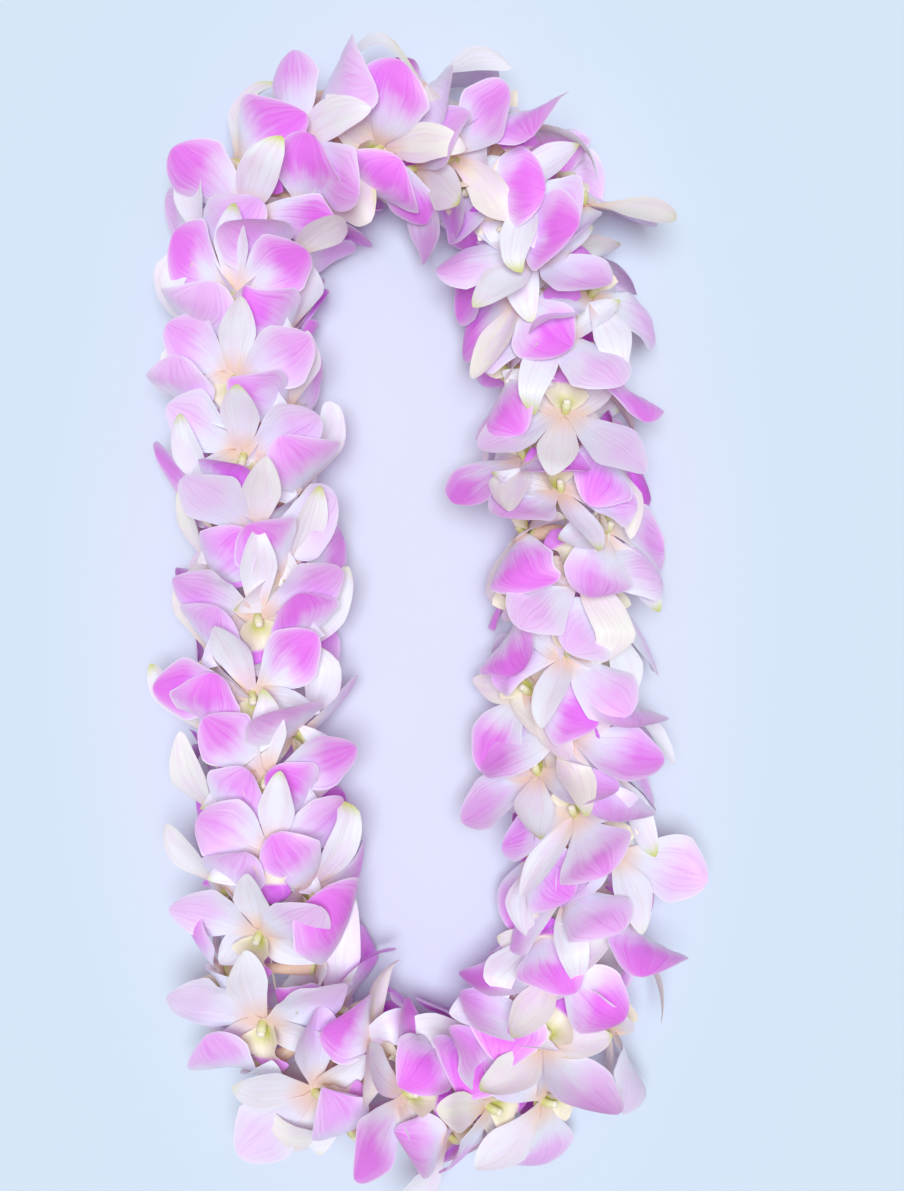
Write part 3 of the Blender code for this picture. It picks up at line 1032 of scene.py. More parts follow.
@dataclass
class Heart:
    """The round pieces in the middle of a blossom: the chin, the column, its cap and the lip's teeth.

    The steps of the chin and the column say how far up and how far forward each ring is drawn, as shares
    of their height, and how much it is scaled.
    """

    depth: float
    sides: int = 10
    foot_radius: float = 2.4 * MILLIMETRE
    foot_height: float = 0.8 * MILLIMETRE
    foot_level: float = 0.6 * MILLIMETRE
    chin_steps: tuple[tuple[float, float, float], ...] = (
        (0.22, -0.02, 1.22),
        (0.24, -0.05, 1.26),
        (0.22, -0.03, 1.14),
        (0.18, 0.04, 1.20),
        (0.11, 0.06, 1.16),
    )
    column_radius: float = 1.8 * MILLIMETRE
    column_length: float = 5.2 * MILLIMETRE
    column_foot: float = 0.92
    column_stub: float = 1.0 * MILLIMETRE
    column_start: tuple[float, float, float] = (0.9 * MILLIMETRE, 0.0, -0.5 * MILLIMETRE)
    column_steps: tuple[tuple[float, float, float], ...] = (
        (0.3, -0.02, 1.02),
        (0.3, -0.06, 1.06),
        (0.25, -0.09, 0.98),
        (0.12, -0.06, 0.72),
    )
    cap_rings: int = 6
    cap_width: float = 0.84
    cap_flatness: float = 0.72
    cap_lean: float = math.radians(-22.0)
    cap_place: tuple[float, float, float] = (-0.75 * MILLIMETRE, 0.0, 0.15 * MILLIMETRE)
    tooth_sides: int = 6
    tooth_radius: float = 0.9 * MILLIMETRE
    tooth_length: float = 3.4 * MILLIMETRE
    tooth_flatness: float = 0.6
    tooth_lean: float = math.radians(-62.0)
    tooth_splay: float = math.radians(16.0)
    tooth_place: tuple[float, float, float] = (-8.6 * MILLIMETRE, 1.25 * MILLIMETRE, 4.4 * MILLIMETRE)

    def build(self) -> list[bpy.types.Object]:
        """Model the chin, the column, the cap and the teeth, not yet joined."""
        return [self.chin(), self.column(), self.cap(), *self.teeth()]

    def finish(self, thing: bpy.types.Object, low: float, high: float) -> bpy.types.Object:
        """Number a round piece's vertices as the heart's, and say how far up toward the cap they are.

        Args:
            thing: The piece.
            low: How far up its lowest vertices are: -1 at the thread, 0 at the throat and 1 at the cap.
            high: How far up its highest vertices are.

        Returns:
            The same piece.
        """
        apply_place(thing)
        count = len(thing.data.vertices)
        heights = np.array([vert.co.z for vert in thing.data.vertices])
        span = max(float(np.ptp(heights)), HAIR)
        keep(thing, "part", np.full(count, float(Part.HEART.value)))
        keep(thing, "along", np.zeros(count))
        keep(thing, "across", np.zeros(count))
        keep(thing, "rise", low + (high - low) * (heights - heights.min()) / span)
        if thing.data.uv_layers:
            thing.data.uv_layers[0].name = PETAL_MAP
        return thing

    def grow(self, thing: bpy.types.Object, rings: Iterable[tuple[float, float, float]]) -> None:
        """Draw a round piece on from its top, ring by ring.

        Args:
            thing: The piece, whose top face is drawn on.
            rings: How far up and how far forward each ring is moved, and how much it is scaled.
        """
        bpy.ops.object.mode_set(mode="EDIT")
        top = max(vert.co.z for vert in bmesh.from_edit_mesh(thing.data).verts)
        select_verts(thing, lambda vert: vert.co.z > top - HAIR)
        for up, forward, scale in rings:
            bpy.ops.mesh.extrude_region_move(TRANSFORM_OT_translate={"value": (forward, 0.0, up)})
            chosen = [vert.co.copy() for vert in bmesh.from_edit_mesh(thing.data).verts if vert.select]
            centre = tuple(np.mean(chosen, axis=0))
            bpy.ops.transform.resize(value=(scale, scale, scale), center_override=centre)
        bpy.ops.object.mode_set(mode="OBJECT")

    def chin(self) -> bpy.types.Object:
        """Model the chin: from its narrow foot on the thread up to the throat, fuller at the lip's side.

        Returns:
            The chin.
        """
        radius, height = self.foot_radius, self.foot_height
        bpy.ops.mesh.primitive_cylinder_add(vertices=self.sides, radius=radius, depth=height)
        thing = bpy.context.object
        thing.location.z = self.foot_level - self.depth
        apply_place(thing)
        rise = self.depth - self.foot_level - height / 2.0
        self.grow(thing, [(rise * up, rise * forward, scale) for up, forward, scale in self.chin_steps])
        return self.finish(thing, -1.0, 0.0)

    def column(self) -> bpy.types.Object:
        """Model the column, which arches a little over the lip.

        Returns:
            The column.
        """
        length, foot = self.column_length, self.column_radius * self.column_foot
        bpy.ops.mesh.primitive_cylinder_add(vertices=self.sides, radius=foot, depth=self.column_stub)
        thing = bpy.context.object
        thing.location = self.column_start
        apply_place(thing)
        self.grow(thing, [(length * up, length * forward, scale) for up, forward, scale in self.column_steps])
        return self.finish(thing, 0.05, 0.55)

    def cap(self) -> bpy.types.Object:
        """Model the smooth cap on the column's end.

        Returns:
            The cap.
        """
        radius = self.column_radius * self.cap_width
        bpy.ops.mesh.primitive_uv_sphere_add(segments=self.sides, ring_count=self.cap_rings, radius=radius)
        thing = bpy.context.object
        thing.scale = (1.0, 1.0, self.cap_flatness)
        thing.rotation_euler.y = self.cap_lean
        forward, aside, over = self.cap_place
        thing.location = (forward, aside, self.column_length + over)
        return self.finish(thing, 0.7, 1.0)

    def teeth(self) -> list[bpy.types.Object]:
        """Model the three white teeth that stand on the lip before its front lobe.

        Returns:
            The teeth.
        """
        forward, aside, up = self.tooth_place
        sides, radius, length = self.tooth_sides, self.tooth_radius, self.tooth_length
        made = []
        for side in (-1.0, 0.0, 1.0):
            bpy.ops.mesh.primitive_cone_add(vertices=sides, radius1=radius, depth=length)
            thing = bpy.context.object
            thing.scale = (self.tooth_flatness, 1.0, 1.0)
            thing.rotation_euler = (0.0, self.tooth_lean, self.tooth_splay * side)
            thing.location = (forward, aside * side, up)
            made.append(self.finish(thing, 1.0, 1.0))
        return made


@dataclass
class BlossomModel:
    """One way in which a blossom has opened, modelled once for all the copies of it."""

    habit: Habit
    heart: Heart
    petal: Sheet = Sheet(
        length=38.5 * MILLIMETRE,
        half_width=15.6 * MILLIMETRE,
        opening=1.10,
        closing=0.52,
        angular=0.40,
        claw=0.16,
        sickle=1.2 * MILLIMETRE,
        uneven=0.06,
        rows=18,
        level=0.5 * MILLIMETRE,
    )
    dorsal: Sheet = Sheet(
        length=41.0 * MILLIMETRE,
        half_width=7.5 * MILLIMETRE,
        opening=0.72,
        closing=0.62,
        angular=0.25,
        claw=0.34,
        cup=0.30,
        uneven=0.05,
        pitch=2.0,
        curl=8.0,
        hook=-8.0,
        ruffle=0.25 * MILLIMETRE,
        level=-0.3 * MILLIMETRE,
        columns=8,
        rows=14,
    )
    sepal: Sheet = Sheet(
        length=28.5 * MILLIMETRE,
        half_width=8.0 * MILLIMETRE,
        opening=0.42,
        closing=0.82,
        claw=0.62,
        cup=0.28,
        uneven=0.05,
        pitch=8.0,
        curl=26.0,
        hook=10.0,
        ruffle=0.25 * MILLIMETRE,
        level=-0.4 * MILLIMETRE,
        columns=8,
        rows=12,
    )
    lip: Lip = Lip(
        length=21.0 * MILLIMETRE,
        half_width=8.0 * MILLIMETRE,
        pitch=46.0,
        curl=-20.0,
        hook=-16.0,
        ruffle=0.35 * MILLIMETRE,
        level=-0.6 * MILLIMETRE,
        thickness=0.5 * MILLIMETRE,
        columns=10,
        rows=14,
    )
    habit_shift: float = 0.31
    part_shift: float = 0.05
    crease: float = math.radians(62.0)

    bearings: ClassVar[dict[Part, float]] = {
        Part.DORSAL: math.radians(0.0),
        Part.LEFT_PETAL: math.radians(58.0),
        Part.LEFT_SEPAL: math.radians(122.0),
        Part.LIP: math.radians(180.0),
        Part.RIGHT_SEPAL: math.radians(238.0),
        Part.RIGHT_PETAL: math.radians(302.0),
    }

    def sheets(self) -> dict[Part, Sheet]:
        """Open every sheet of the blossom in this model's way.

        Returns:
            The sheets by the part of the blossom that they are.
        """
        petal, dorsal, sepal = self.petal, self.dorsal, self.sepal
        match self.habit:
            case Habit.OPEN:
                left = replace(petal, cup=0.10, curl=8.0, hook=-14.0, twist=5.0, slant=9.0)
                right = replace(petal, cup=0.14, curl=4.0, hook=-10.0, twist=-3.0, slant=-12.0)
            case Habit.CUPPED:
                left = replace(petal, cup=0.30, curl=26.0, hook=10.0, pitch=0.0, slant=14.0)
                right = replace(petal, cup=0.24, curl=20.0, hook=16.0, pitch=2.0, twist=6.0, slant=-7.0)
                dorsal = replace(dorsal, curl=20.0, hook=12.0, cup=0.46)
            case Habit.REFLEXED:
                left = replace(petal, cup=-0.14, curl=-16.0, hook=-22.0, pitch=12.0, slant=6.0)
                right = replace(petal, cup=-0.08, curl=-10.0, hook=-26.0, pitch=10.0, twist=-6.0)
                right = replace(right, slant=-15.0)
                dorsal = replace(dorsal, curl=-14.0, hook=-22.0, pitch=9.0, cup=0.22)
            case Habit.WAVY:
                petal = replace(petal, ruffle=1.15 * MILLIMETRE)
                left = replace(petal, cup=0.05, curl=6.0, hook=-20.0, twist=-9.0, slant=16.0)
                right = replace(petal, cup=0.10, curl=12.0, hook=-16.0, twist=8.0, slant=-8.0)
                dorsal = replace(dorsal, twist=14.0, hook=-20.0)
            case Habit.TWISTED:
                left = replace(petal, cup=0.20, curl=10.0, hook=18.0, twist=24.0)
                right = replace(petal, cup=-0.10, curl=-6.0, hook=-20.0, twist=14.0, pitch=8.0)
                dorsal = replace(dorsal, twist=-18.0, curl=12.0, cup=0.40)
        return {
            Part.DORSAL: dorsal,
            Part.LEFT_PETAL: left,
            Part.LEFT_SEPAL: sepal,
            Part.LIP: self.lip,
            Part.RIGHT_SEPAL: replace(sepal, curl=20.0, hook=16.0),
            Part.RIGHT_PETAL: right,
        }

    def build(self, finishes: dict[str, bpy.types.Material]) -> bpy.types.Object:
        """Model the blossom's sheets and its heart, and join them.

        Args:
            finishes: The materials of the petals, sepals, lip and heart, by name.

        Returns:
            The blossom, flat in its own frame.
        """
        worn = {Part.LEFT_PETAL: "petal", Part.RIGHT_PETAL: "petal", Part.LIP: "lip"}
        place = self.habit_shift * (list(Habit).index(self.habit) + 1)
        pieces = []
        for part, sheet in self.sheets().items():
            name = f"{self.habit.value}_{part.name.lower()}"
            shifted = place + self.part_shift * part.value
            thing = SheetModeller(sheet, name).build(self.bearings[part], part, shifted)
            thing.data.materials.append(finishes[worn.get(part, "sepal")])
            pieces.append(thing)
        for thing in self.heart.build():
            thing.data.materials.append(finishes["heart"])
            pieces.append(thing)
        whole = joined(pieces, f"{self.habit.value}_blossom")
        bpy.ops.object.shade_smooth_by_angle(angle=self.crease)
        return whole


# ---------------------------------------------------------------------------------------------------
# The loop and where the blossoms sit on it
# ---------------------------------------------------------------------------------------------------


@dataclass
class Loop:
    """The closed route of the thread, read by the length along it, clockwise from above."""

    half_width: float = 66.8 * MILLIMETRE
    half_length: float = 206.5 * MILLIMETRE
    end_depth: float = 70.0 * MILLIMETRE
    squareness: float = 2.3
    lean: float = 0.037
    wave: float = 1.6 * MILLIMETRE
    wave_length: float = 150.0 * MILLIMETRE
    height: float = 36.0 * MILLIMETRE
    inner_easing: float = 0.5
    outline_samples: int = 300
    length_samples: int = 2400
    slope_samples: int = 3
    smoothing_rounds: int = 60

    def __post_init__(self) -> None:
        """Work the route out once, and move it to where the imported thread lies."""
        points = self.outline()
        for _ in range(self.smoothing_rounds):
            points = (np.roll(points, 1, axis=0) + 2.0 * points + np.roll(points, -1, axis=0)) / 4.0
        points = np.vstack([points, points[:1]])
        steps = np.linalg.norm(np.diff(points, axis=0), axis=1)
        lengths = np.concatenate([[0.0], np.cumsum(steps)])
        self.length = float(lengths[-1])
        self.step = self.length / self.length_samples
        stations = np.arange(self.length_samples) * self.step
        self.points = np.column_stack([np.interp(stations, lengths, points[:, i]) for i in range(2)])
        low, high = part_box("thread")
        drawn = (self.points.min(axis=0) + self.points.max(axis=0)) / 2.0
        self.points += np.array([low.x + high.x, low.y + high.y]) / 2.0 - drawn
        ahead = self.change(self.points)
        self.tangents = ahead / np.linalg.norm(ahead, axis=1)[:, None]
        right = np.column_stack([self.tangents[:, 1], -self.tangents[:, 0]])
        turning = np.sum(self.change(self.tangents) * right, axis=1)
        self.curvatures = turning / (2.0 * self.slope_samples * self.step)

    def change(self, table: np.ndarray) -> np.ndarray:
        """Give how much a table of values changes across the samples on both sides of each one."""
        return np.roll(table, -self.slope_samples, axis=0) - np.roll(table, self.slope_samples, axis=0)

    def outline(self) -> np.ndarray:
        """Lay points along two straight legs and two rounded ends, then lean and wave them.

        Returns:
            The points, one a row.
        """
        leg_end = self.half_length - self.end_depth
        leg = np.linspace(-leg_end, leg_end, self.outline_samples, endpoint=False)
        angles = np.linspace(math.pi, 0.0, self.outline_samples, endpoint=False)
        power = 2.0 / self.squareness
        end_x = self.half_width * np.sign(np.cos(angles)) * np.abs(np.cos(angles)) ** power
        end_y = leg_end + self.end_depth * np.sin(angles) ** power
        side = np.column_stack([np.full_like(leg, -self.half_width), leg])
        half = np.vstack([side, np.column_stack([end_x, end_y])])
        points = np.vstack([half, -half])
        points[:, 0] += self.wave * np.sin(FULL_TURN * points[:, 1] / self.wave_length)
        points[:, 0] -= self.lean * points[:, 1]
        return points

    def read(self, table: np.ndarray, station: np.ndarray | float) -> np.ndarray:
        """Read a table of values along the loop at any length, past its ends too.

        Args:
            table: The values at every sample.
            station: The length, or many of them.

        Returns:
            The value or row of values at each length.
        """
        place = np.asarray(station) / self.step
        low = np.floor(place).astype(int)
        share = place - low
        share = share[..., None] if table.ndim > 1 else share
        count = self.length_samples
        return table[low % count] * (1.0 - share) + table[(low + 1) % count] * share

    def bend(self, points: np.ndarray, station: float) -> np.ndarray:
        """Carry points (along, outward, up) beside a straight thread to their places on the loop.

        Args:
            points: The points, one a row.
            station: The length along the loop that they belong to.

        Returns:
            The points in the lei's frame.
        """
        along, outward, up = points[:, 0], points[:, 1], points[:, 2]
        curvature = float(self.read(self.curvatures, station))
        easing = np.where(outward > 0.0, 1.0, self.inner_easing)
        reached = station + along / (1.0 + curvature * outward * easing)
        middle = self.read(self.points, reached)
        tangent = self.read(self.tangents, reached)
        left = np.column_stack([-tangent[:, 1], tangent[:, 0]])
        flat = middle + left * outward[:, None]
        return np.column_stack([flat, self.height + up])


@dataclass
class Seat:
    """How a blossom's face sits beside the thread.

    It stands at a distance from the thread and is sloped forward. A wrap of 1 lays it right round the
    thread, and one of 0 keeps it flat. A face that looks to the side has a slope and a wrap of its own.
    """

    distance: float = 19.0 * MILLIMETRE
    slope: float = math.radians(28.5)
    side_slope: float = math.radians(26.0)
    wrap: float = 0.42
    side_wrap: float = 0.84
    tip_lift: float = 3.5 * MILLIMETRE
    reach: float = 38.0 * MILLIMETRE
    stem_share: float = 0.75
    floor_gap: float = 0.3 * MILLIMETRE
    press_height: float = 5.0 * MILLIMETRE
    crest: float = 80.0 * MILLIMETRE
    crest_span: float = 9.0 * MILLIMETRE

    def lean(self, flat: np.ndarray, chin: np.ndarray, upward: float) -> np.ndarray:
        """Lean a flat face forward and lay it part of the way round the thread.

        Args:
            flat: Points of the face in the blossom's frame.
            chin: The same points before the face was tilted, for what reaches down to the thread.
            upward: How far the face looks up, from 1 for straight up to 0 for sideways and below.

        Returns:
            The points as (along, across, out) beside a straight thread.
        """
        slope = upward * self.slope + (1.0 - upward) * self.side_slope
        sine, cosine = math.sin(slope), math.cos(slope)
        x, y, z = flat[:, 0], flat[:, 1], flat[:, 2].copy()
        z += self.tip_lift * upward * (np.hypot(x, y) / self.reach) ** 2
        start = self.distance / sine
        from_apex = np.hypot(start + x, y)
        turned = np.arctan2(y, start + x) / sine
        radius = from_apex * sine + z * cosine
        along = (from_apex - start) * cosine - z * sine
        round_it = np.column_stack([along, radius * np.sin(turned), radius * np.cos(turned)])
        straight = np.column_stack([x * cosine - z * sine, y, self.distance + x * sine + z * cosine])
        wrap = upward * self.wrap + (1.0 - upward) * self.side_wrap
        face = wrap * round_it + (1.0 - wrap) * straight
        stem = np.column_stack([chin[:, 0], chin[:, 1], self.distance + chin[:, 2]])
        held_by = ease(chin[:, 2], -self.stem_share * self.distance, 0.0)[:, None]
        return held_by * face + (1.0 - held_by) * stem

    def press(self, heights: np.ndarray) -> np.ndarray:
        """Flatten what would hang below the surface or stand too high, keeping what lies over what.

        Args:
            heights: How high points of a blossom are.

        Returns:
            Their heights above the floor and below the crest and its span.
        """
        span = self.press_height - self.floor_gap
        pressed = self.floor_gap + span * np.exp(np.minimum(heights - self.press_height, 0.0) / span)
        over = np.maximum(heights - self.crest, 0.0)
        lowered = self.crest + self.crest_span * (1.0 - np.exp(-over / self.crest_span))
        return np.where(heights < self.press_height, pressed, np.minimum(heights, lowered))


@dataclass
class Stance:
    """How one blossom differs from its model: its petals' poses, its tilt, its size and its colour.

    Each list holds one value for each sheet, in the order of the parts.
    """

    swings: list[float]
    stretches: list[float]
    size: float
    disorder: float
    lifts: list[float] = field(default_factory=list)
    curls: list[float] = field(default_factory=list)
    twists: list[float] = field(default_factory=list)
    tilt: tuple[float, float, float] = (0.0, 0.0, 0.0)
    # The blossom's own flush, deepened as painted shade at the sides and inside the loop.
    blush: float = 0.5
    ripe: float = 0.5
    seed: float = 0.0


def strayed(looks: random.Random, spread: float, limit: float = 1.7) -> float:
    """Draw a number round zero with a usual spread, held within a limit given in spreads."""
    return spread * max(-limit, min(limit, looks.gauss(0.0, 1.0)))


def spun(points: np.ndarray, angle: float, first: int, second: int) -> np.ndarray:
    """Turn points by an angle in the plane of two of their axes, from the first toward the second.

    Args:
        points: The points, one a row.
        angle: How far they are turned.
        first: The number of the first axis.
        second: The number of the second axis.

    Returns:
        The turned points.
    """
    cosine, sine = math.cos(angle), math.sin(angle)
    turned = points.copy()
    turned[:, first] = points[:, first] * cosine - points[:, second] * sine
    turned[:, second] = points[:, first] * sine + points[:, second] * cosine
    return turned


@dataclass
class Lei:
    """All the blossoms of the lei: opposite pairs, each a quarter turn round the thread from the last.

    Every second pair looks up and down, and those between them look to both sides. A spread is how far
    chance usually moves a value, less on the tidy first share of the loop and more on the loose rest. The
    side, inner and end values change the blossoms at the sides, inside the loop and at its rounded ends,
    where the blushes deepen their colour as painted shade.
    """

    models: dict[Habit, bpy.types.Object]
    loop: Loop
    seat: Seat
    pairs: int = PAIRS
    seed: int = 1714
    habit_weights: tuple[int, ...] = (5, 3, 3, 3, 2)
    roll_spread: float = math.radians(11.0)
    station_spread: float = 1.1 * MILLIMETRE
    size_spread: float = 0.05
    bearing_spread: float = math.radians(3.0)
    length_spread: float = 0.05
    swing_spread: float = math.radians(6.5)
    lift_spread: float = math.radians(6.5)
    petal_lift: float = math.radians(9.0)
    sepal_lift: float = math.radians(4.0)
    curl_spread: float = 0.08
    twist_spread: float = math.radians(13.0)
    tilt_spreads: tuple[float, float, float] = (math.radians(11.0), math.radians(9.0), math.radians(16.0))
    usual_blush: float = 0.62
    blush_spread: float = 0.24
    least_blush: float = 0.15
    seed_range: float = 50.0
    tidy: float = 0.75
    loose: float = 1.25
    tidy_share: float = 0.36
    side_push: float = math.radians(19.0)
    roll_drift: float = math.radians(12.0)
    side_lift: float = math.radians(7.0)
    side_bow: float = 0.24
    side_blush: float = 0.16
    inner_blush: float = 0.18
    side_twist: float = math.radians(28.0)
    end_growth: float = 0.13
    inner_growth: float = 0.16
    end_blush: float = 0.25

    def __post_init__(self) -> None:
        """Read each model's points once."""
        self.points = {habit: self.read(model) for habit, model in self.models.items()}

    @staticmethod
    def read(model: bpy.types.Object) -> np.ndarray:
        """Read a model's points.

        Args:
            model: The model.

        Returns:
            Its points, one a row.
        """
        places = np.empty(3 * len(model.data.vertices))
        model.data.vertices.foreach_get("co", places)
        return places.reshape(-1, 3)

    def build(self) -> list[bpy.types.Object]:
        """Make every blossom at its place.

        Returns:
            The blossoms.
        """
        chance = random.Random(self.seed)
        looks = random.Random(self.seed + 1)
        made = []
        for index in range(self.pairs):
            jitter = chance.uniform(-self.station_spread, self.station_spread)
            station = index * self.loop.length / self.pairs + jitter
            roll = (index % 2) * math.pi / 2.0 + chance.uniform(-self.roll_spread, self.roll_spread)
            disorder = self.tidy if station < self.tidy_share * self.loop.length else self.loose
            stances = [self.draw(chance, looks, disorder) for _ in range(2)]
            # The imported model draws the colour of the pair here.
            chance.random()
            for letter, half, stance in zip("ab", (0.0, math.pi), stances):
                name = f"blossom_{index + 1:02d}_{letter}"
                rolled = self.settle(roll + half) + strayed(looks, self.roll_drift * stance.disorder)
                blossom = self.place(name, station, rolled, stance, looks)
                made.append(self.dress(blossom, f"blossom_pair_{index + 1:02d}", stance))
        return made

    def settle(self, roll: float) -> float:
        """Push a blossom at the side round toward the top, as those below it are squashed by the weight."""
        return roll - self.side_push * math.sin(roll)

    def draw(self, chance: random.Random, looks: random.Random, disorder: float) -> Stance:
        """Draw how one blossom stands, with its bearings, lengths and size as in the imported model.

        Args:
            chance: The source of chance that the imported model's blossoms were drawn from.
            looks: The source of chance for what only the looks have.
            disorder: How far it strays, from 1 for as far as the spreads say.

        Returns:
            Its stance.
        """
        sheets = [part for part in Part if part is not Part.HEART]
        swings, stretches = [], []
        for part in sheets:
            spread = 0.0 if part is Part.DORSAL else self.bearing_spread
            swings.append(chance.uniform(-spread, spread) if spread else 0.0)
            stretches.append(1.0 + chance.uniform(-self.length_spread, self.length_spread))
        size = 1.0 + chance.uniform(-self.size_spread, self.size_spread)
        stance = Stance(swings, stretches, size, disorder)
        for part in sheets:
            highest = self.petal_lift if part in (Part.LEFT_PETAL, Part.RIGHT_PETAL) else self.sepal_lift
            stance.swings[part.value] += strayed(looks, self.swing_spread * disorder)
            stance.lifts.append(min(strayed(looks, self.lift_spread), highest))
            stance.curls.append(strayed(looks, self.curl_spread))
            stance.twists.append(strayed(looks, self.twist_spread * disorder))
        stance.tilt = tuple(strayed(looks, spread * disorder) for spread in self.tilt_spreads)
        stance.blush = min(1.0, max(self.least_blush, looks.gauss(self.usual_blush, self.blush_spread)))
        stance.ripe = looks.random()
        stance.seed = looks.uniform(0.0, self.seed_range)
        return stance

    def place(
        self, name: str, station: float, roll: float, stance: Stance, looks: random.Random
    ) -> bpy.types.Object:
        """Copy a model with a mesh of its own, and carry it to its place.

        Args:
            name: The blossom's name.
            station: The length along the loop at which it sits.
            roll: How far it is rolled round the thread from straight up.
            stance: How it differs from its model.
            looks: The source of chance for its model.

        Returns:
            The blossom.
        """
        habit = looks.choices(list(Habit), weights=self.habit_weights)[0]
        model = self.models[habit]
        mesh = model.data.copy()
        mesh.name = name
        blossom = bpy.data.objects.new(name, mesh)
        bpy.context.scene.collection.objects.link(blossom)
        self.suit(stance, station, roll)
        flat = self.pose(self.points[habit], model, stance)
        tilted = flat
        for angle, (first, second) in zip(stance.tilt, ((1, 2), (2, 0), (0, 1))):
            tilted = spun(tilted, angle, first, second)
        beside = self.seat.lean(tilted, flat, max(0.0, math.cos(roll)))
        beside = spun(beside, -roll, 1, 2)
        placed = self.loop.bend(beside, station)
        placed[:, 2] = self.seat.press(placed[:, 2])
        mesh.vertices.foreach_set("co", placed.ravel())
        for label in ("part", "along", "across"):
            mesh.attributes.remove(mesh.attributes[label])
        mesh.update()
        return blossom

    def suit(self, stance: Stance, station: float, roll: float) -> None:
        """Suit a stance to where on the lei its blossom sits: at a side, an end or the inside.

        Args:
            stance: The stance, which is changed.
            station: The length along the loop at which the blossom sits.
            roll: How far it is rolled round the thread from straight up.
        """
        outward, inward = math.sin(roll), max(0.0, -math.sin(roll))
        sideways = 1.0 - max(0.0, math.cos(roll))
        facing = self.side_twist * outward
        stance.lifts = [lift + self.side_lift * sideways for lift in stance.lifts]
        stance.curls = [curl - self.side_bow * sideways for curl in stance.curls]
        stance.twists = [twist + facing for twist in stance.twists]
        stance.twists[Part.DORSAL.value] += facing
        bend = float(self.loop.read(self.loop.curvatures, station)) * self.loop.half_width
        bend = max(0.0, min(1.0, bend))
        stance.size *= 1.0 + bend * (self.end_growth * (0.5 + 0.5 * outward) + self.inner_growth * inward)
        # Painted shade: blossoms at the sides, inside the loop and at its inner ends get a deeper flush.
        shade_deepening = self.side_blush * sideways + (self.inner_blush + self.end_blush * bend) * inward
        stance.blush = min(1.0, stance.blush + shade_deepening)

    def dress(self, blossom: bpy.types.Object, node: str, stance: Stance) -> bpy.types.Object:
        """Give a blossom what its finishes read, its body and the node that it stands for.

        Args:
            blossom: The blossom, which has its model's finishes.
            node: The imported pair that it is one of.
            stance: How it differs from its model.

        Returns:
            The same blossom.
        """
        for label, value in (("blush", stance.blush), ("ripe", stance.ripe), ("seed", stance.seed)):
            keep(blossom, label, np.full(len(blossom.data.vertices), value))
        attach(blossom, BODY)
        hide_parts(node)
        return blossom

    def pose(self, points: np.ndarray, model: bpy.types.Object, stance: Stance) -> np.ndarray:
        """Swing, stretch, lift, curl and twist each sheet of a blossom as its stance says.

        Args:
            points: The model's points.
            model: The model.
            stance: How the blossom differs from it.

        Returns:
            The blossom's points, with those of the chin left as they were.
        """
        posed = points.copy()
        part, along = held(model, "part"), held(model, "along")
        for kind, bearing in BlossomModel.bearings.items():
            index = kind.value
            mine = np.isclose(part, index)
            sheet = spun(points[mine], -bearing, 0, 1)
            share = along[mine]
            reach = sheet[:, 0].copy()
            angle = stance.twists[index] * share
            side, up = sheet[:, 1].copy(), sheet[:, 2].copy()
            sheet[:, 1] = side * np.cos(angle) - up * np.sin(angle)
            sheet[:, 2] = side * np.sin(angle) + up * np.cos(angle)
            sheet[:, 2] += math.sin(stance.lifts[index]) * reach + stance.curls[index] * share * share * reach
            sheet[:, 0] = reach * stance.stretches[index]
            posed[mine] = spun(sheet, bearing + stance.swings[index], 0, 1)
        grown = posed * stance.size
        chin = (part >= Part.HEART.value) & (points[:, 2] < 0.0)
        grown[chin] = points[chin]
        return grown


# ---------------------------------------------------------------------------------------------------
# The thread and its knot
# ---------------------------------------------------------------------------------------------------


def wear_cotton(thing: bpy.types.Object, node: str, cotton: bpy.types.Material) -> bpy.types.Object:
    """Close a piece of cotton, and give it its material, its body and the node that it stands for.

    Args:
        thing: The piece.
        node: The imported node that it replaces.
        cotton: The material of the thread.

    Returns:
        The finished piece.
    """
    thing.data.materials.clear()
    thing.data.materials.append(cotton)
    pick(thing)
    bpy.ops.object.mode_set(mode="EDIT")
    bpy.ops.mesh.select_all(action="SELECT")
    bpy.ops.mesh.remove_doubles(threshold=HAIR)
    bpy.ops.mesh.normals_make_consistent(inside=False)
    bpy.ops.object.mode_set(mode="OBJECT")
    bpy.ops.object.shade_smooth_by_angle(angle=COTTON_CREASE)
    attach(thing, BODY)
    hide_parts(node)
    return thing


